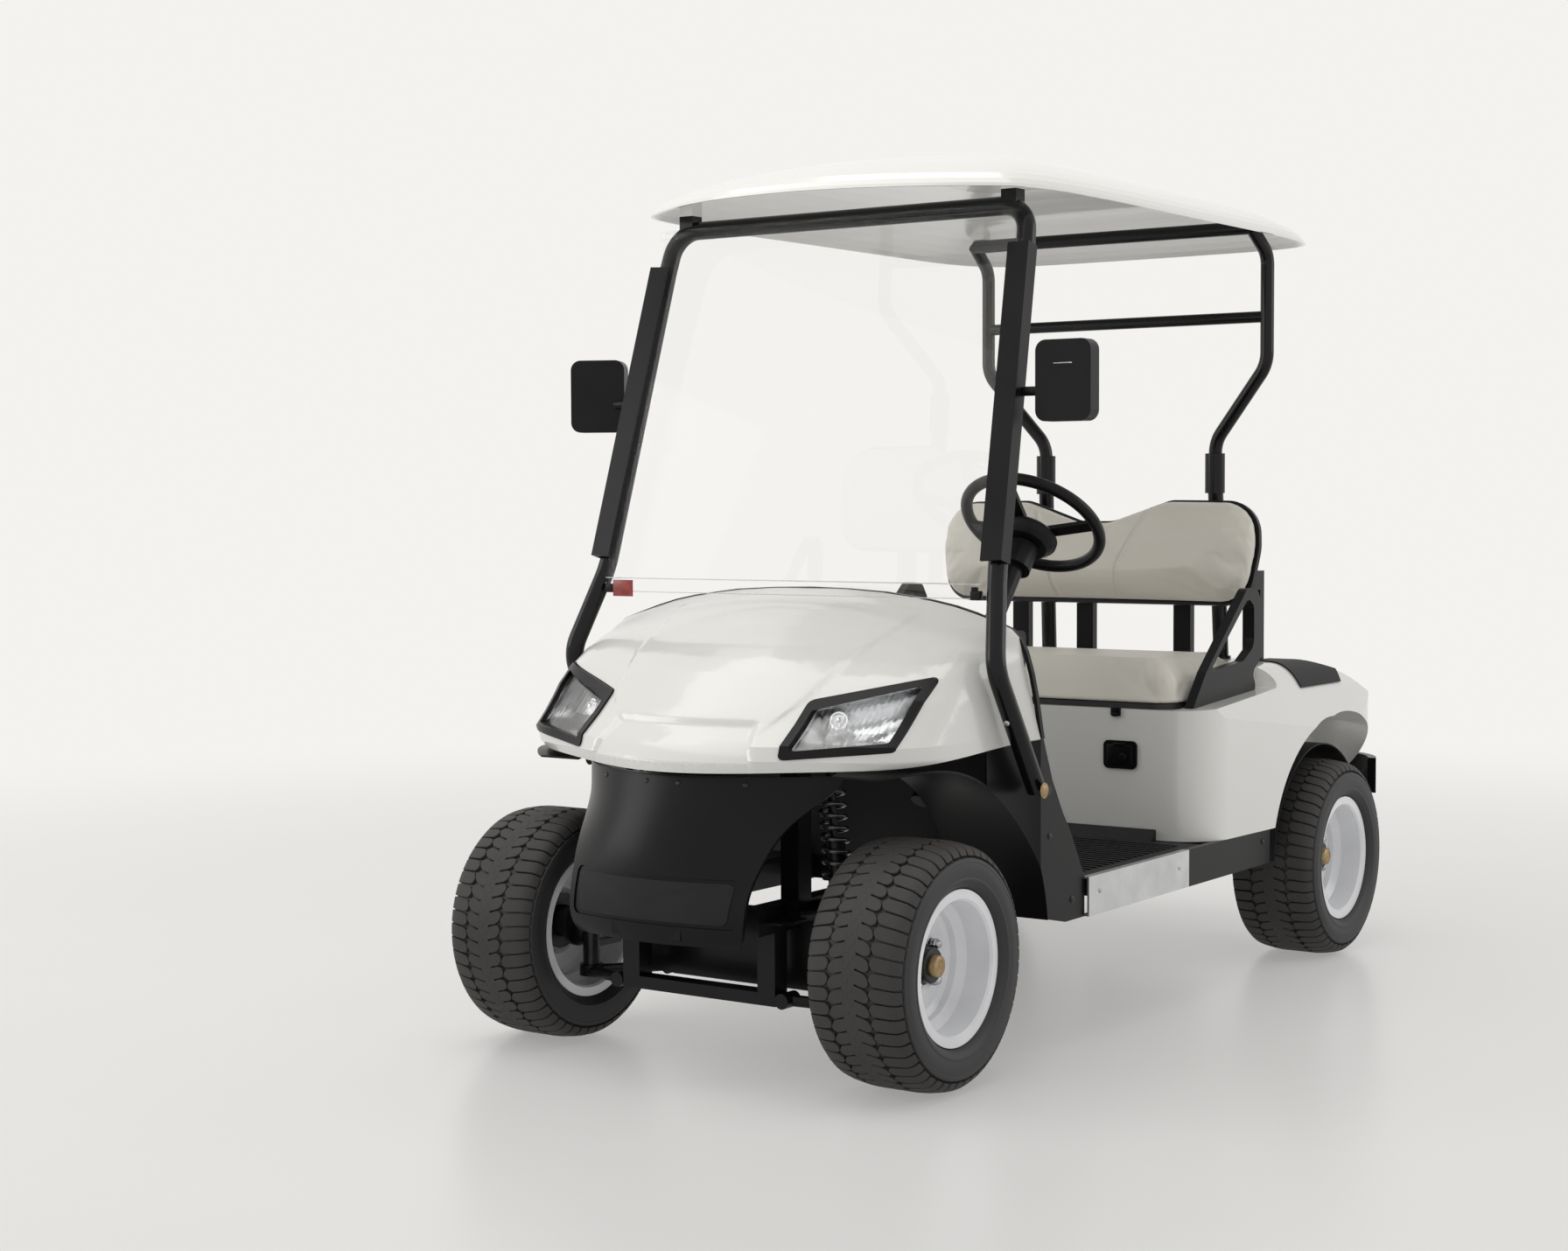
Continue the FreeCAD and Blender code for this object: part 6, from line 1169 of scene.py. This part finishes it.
def paleFloor():
    material = bpy.data.materials.new("paleFloor")
    material.use_nodes = True
    tree = material.node_tree
    shader = tree.nodes["Principled BSDF"]
    shader.inputs["Roughness"].default_value = 0.28
    shader.inputs["Specular IOR Level"].default_value = 0.4
    place = addNode(tree, "ShaderNodeTexCoord")
    noise = addNode(tree, "ShaderNodeTexNoise", {"Scale": 1.6})
    ramp = addNode(tree, "ShaderNodeValToRGB")
    ramp.color_ramp.elements[0].color = (*[c * 0.95 for c in studio["floorColour"]], 1)
    ramp.color_ramp.elements[1].color = (*studio["floorColour"], 1)
    far = addNode(tree, "ShaderNodeVectorMath")
    far.operation = "LENGTH"
    fade = addNode(tree, "ShaderNodeMapRange")
    fade.interpolation_type = "SMOOTHSTEP"
    fade.inputs["From Min"].default_value = studio["fadeStart"]
    fade.inputs["From Max"].default_value = studio["fadeEnd"]
    fade.inputs["To Min"].default_value = studio["nearGlow"]
    glow = addNode(tree, "ShaderNodeEmission", {"Color": (*studio["backColour"], 1)})
    mix = addNode(tree, "ShaderNodeMixShader")
    output = next(n for n in tree.nodes if n.type == "OUTPUT_MATERIAL")
    wire(tree, (place, "Object", noise, "Vector"), (place, "Object", far, 0), (noise, 0, ramp, "Fac"),
         (ramp, "Color", shader, "Base Color"), (far, "Value", fade, "Value"), (fade, 0, mix, 0),
         (shader, 0, mix, 1), (glow, 0, mix, 2), (mix, 0, output, "Surface"))
    return material


floorMesh = meshFrom("studioFloor", [(-60, -60, 0), (60, -60, 0), (60, 60, 0), (-60, 60, 0)], [(0, 1, 2, 3)])
studioFloor = addObject("studioFloor", floorMesh, paleFloor())

world = bpy.data.worlds.new("studioWorld")
bpy.context.scene.world = world
world.use_nodes = True
skyTree = world.node_tree
sky = skyTree.nodes["Background"]
sky.inputs["Color"].default_value = (1.0, 0.99, 0.975, 1)
sky.inputs["Strength"].default_value = studio["worldStrength"]
seen = addNode(skyTree, "ShaderNodeBackground", {"Color": (*studio["backColour"], 1)})
rays = addNode(skyTree, "ShaderNodeLightPath")
direct = addNode(skyTree, "ShaderNodeMath")
direct.operation = "MAXIMUM"
seenRay = addNode(skyTree, "ShaderNodeMath")
seenRay.operation = "MAXIMUM"
blend = addNode(skyTree, "ShaderNodeMixShader")
skyOut = next(n for n in skyTree.nodes if n.type == "OUTPUT_WORLD")
wire(skyTree, (rays, "Is Camera Ray", direct, 0), (rays, "Is Glossy Ray", direct, 1), (direct, 0, seenRay, 0),
     (rays, "Is Transmission Ray", seenRay, 1), (seenRay, 0, blend, 0), (sky, 0, blend, 1),
     (seen, 0, blend, 2), (blend, 0, skyOut, "Surface"))


def softLight(name, place, target, size, power, colour=(1, 1, 1)):
    lamp = bpy.data.lights.new(name, "AREA")
    lamp.shape = "RECTANGLE"
    lamp.size, lamp.size_y = size
    lamp.energy = power
    lamp.color = colour
    holder = bpy.data.objects.new(name, lamp)
    bpy.context.scene.collection.objects.link(holder)
    holder.location = place
    holder.rotation_mode = "QUATERNION"
    holder.rotation_quaternion = (Vector(target) - Vector(place)).to_track_quat("-Z", "Y")
    return holder


softLight("overheadLight", (-0.6, -0.8, 4.6), (0, 0, 0), (4.5, 4.5), studio["overhead"], (1, 0.985, 0.96))
softLight("sideLight", (-4.2, -3.6, 2.4), (0, -0.2, 0.7), (2.4, 2.4), studio["side"])
softLight("rearLight", (4.2, 2.6, 2.6), (0, 0.2, 0.8), (2.2, 2.6), studio["rear"])

view = {"azimuth": 34.875, "elevation": 2.907, "roll": -0.255, "place": (2.7893, -4.72595, 1.0789),
        "lens": 56.531}


def addCamera(view):
    lens = bpy.data.cameras.new("photoCamera")
    lens.sensor_width = 36
    lens.sensor_fit = "AUTO"
    lens.lens = view["lens"]
    lens.clip_start, lens.clip_end = 0.05, 200
    camera = bpy.data.objects.new("photoCamera", lens)
    bpy.context.scene.collection.objects.link(camera)
    az, el, roll = (math.radians(view[key]) for key in ("azimuth", "elevation", "roll"))
    ahead = Vector((-math.sin(az) * math.cos(el), math.cos(az) * math.cos(el), -math.sin(el)))
    right = ahead.cross(Vector((0, 0, 1))).normalized()
    up = right.cross(ahead)
    turnedRight = right * math.cos(roll) + up * math.sin(roll)
    turnedUp = up * math.cos(roll) - right * math.sin(roll)
    axes = Matrix((turnedRight, turnedUp, -ahead)).transposed()
    camera.matrix_world = Matrix.Translation(view["place"]) @ axes.to_4x4()
    bpy.context.scene.camera = camera


addCamera(view)
bpy.context.scene.view_settings.view_transform = "Standard"
print("stage ready")
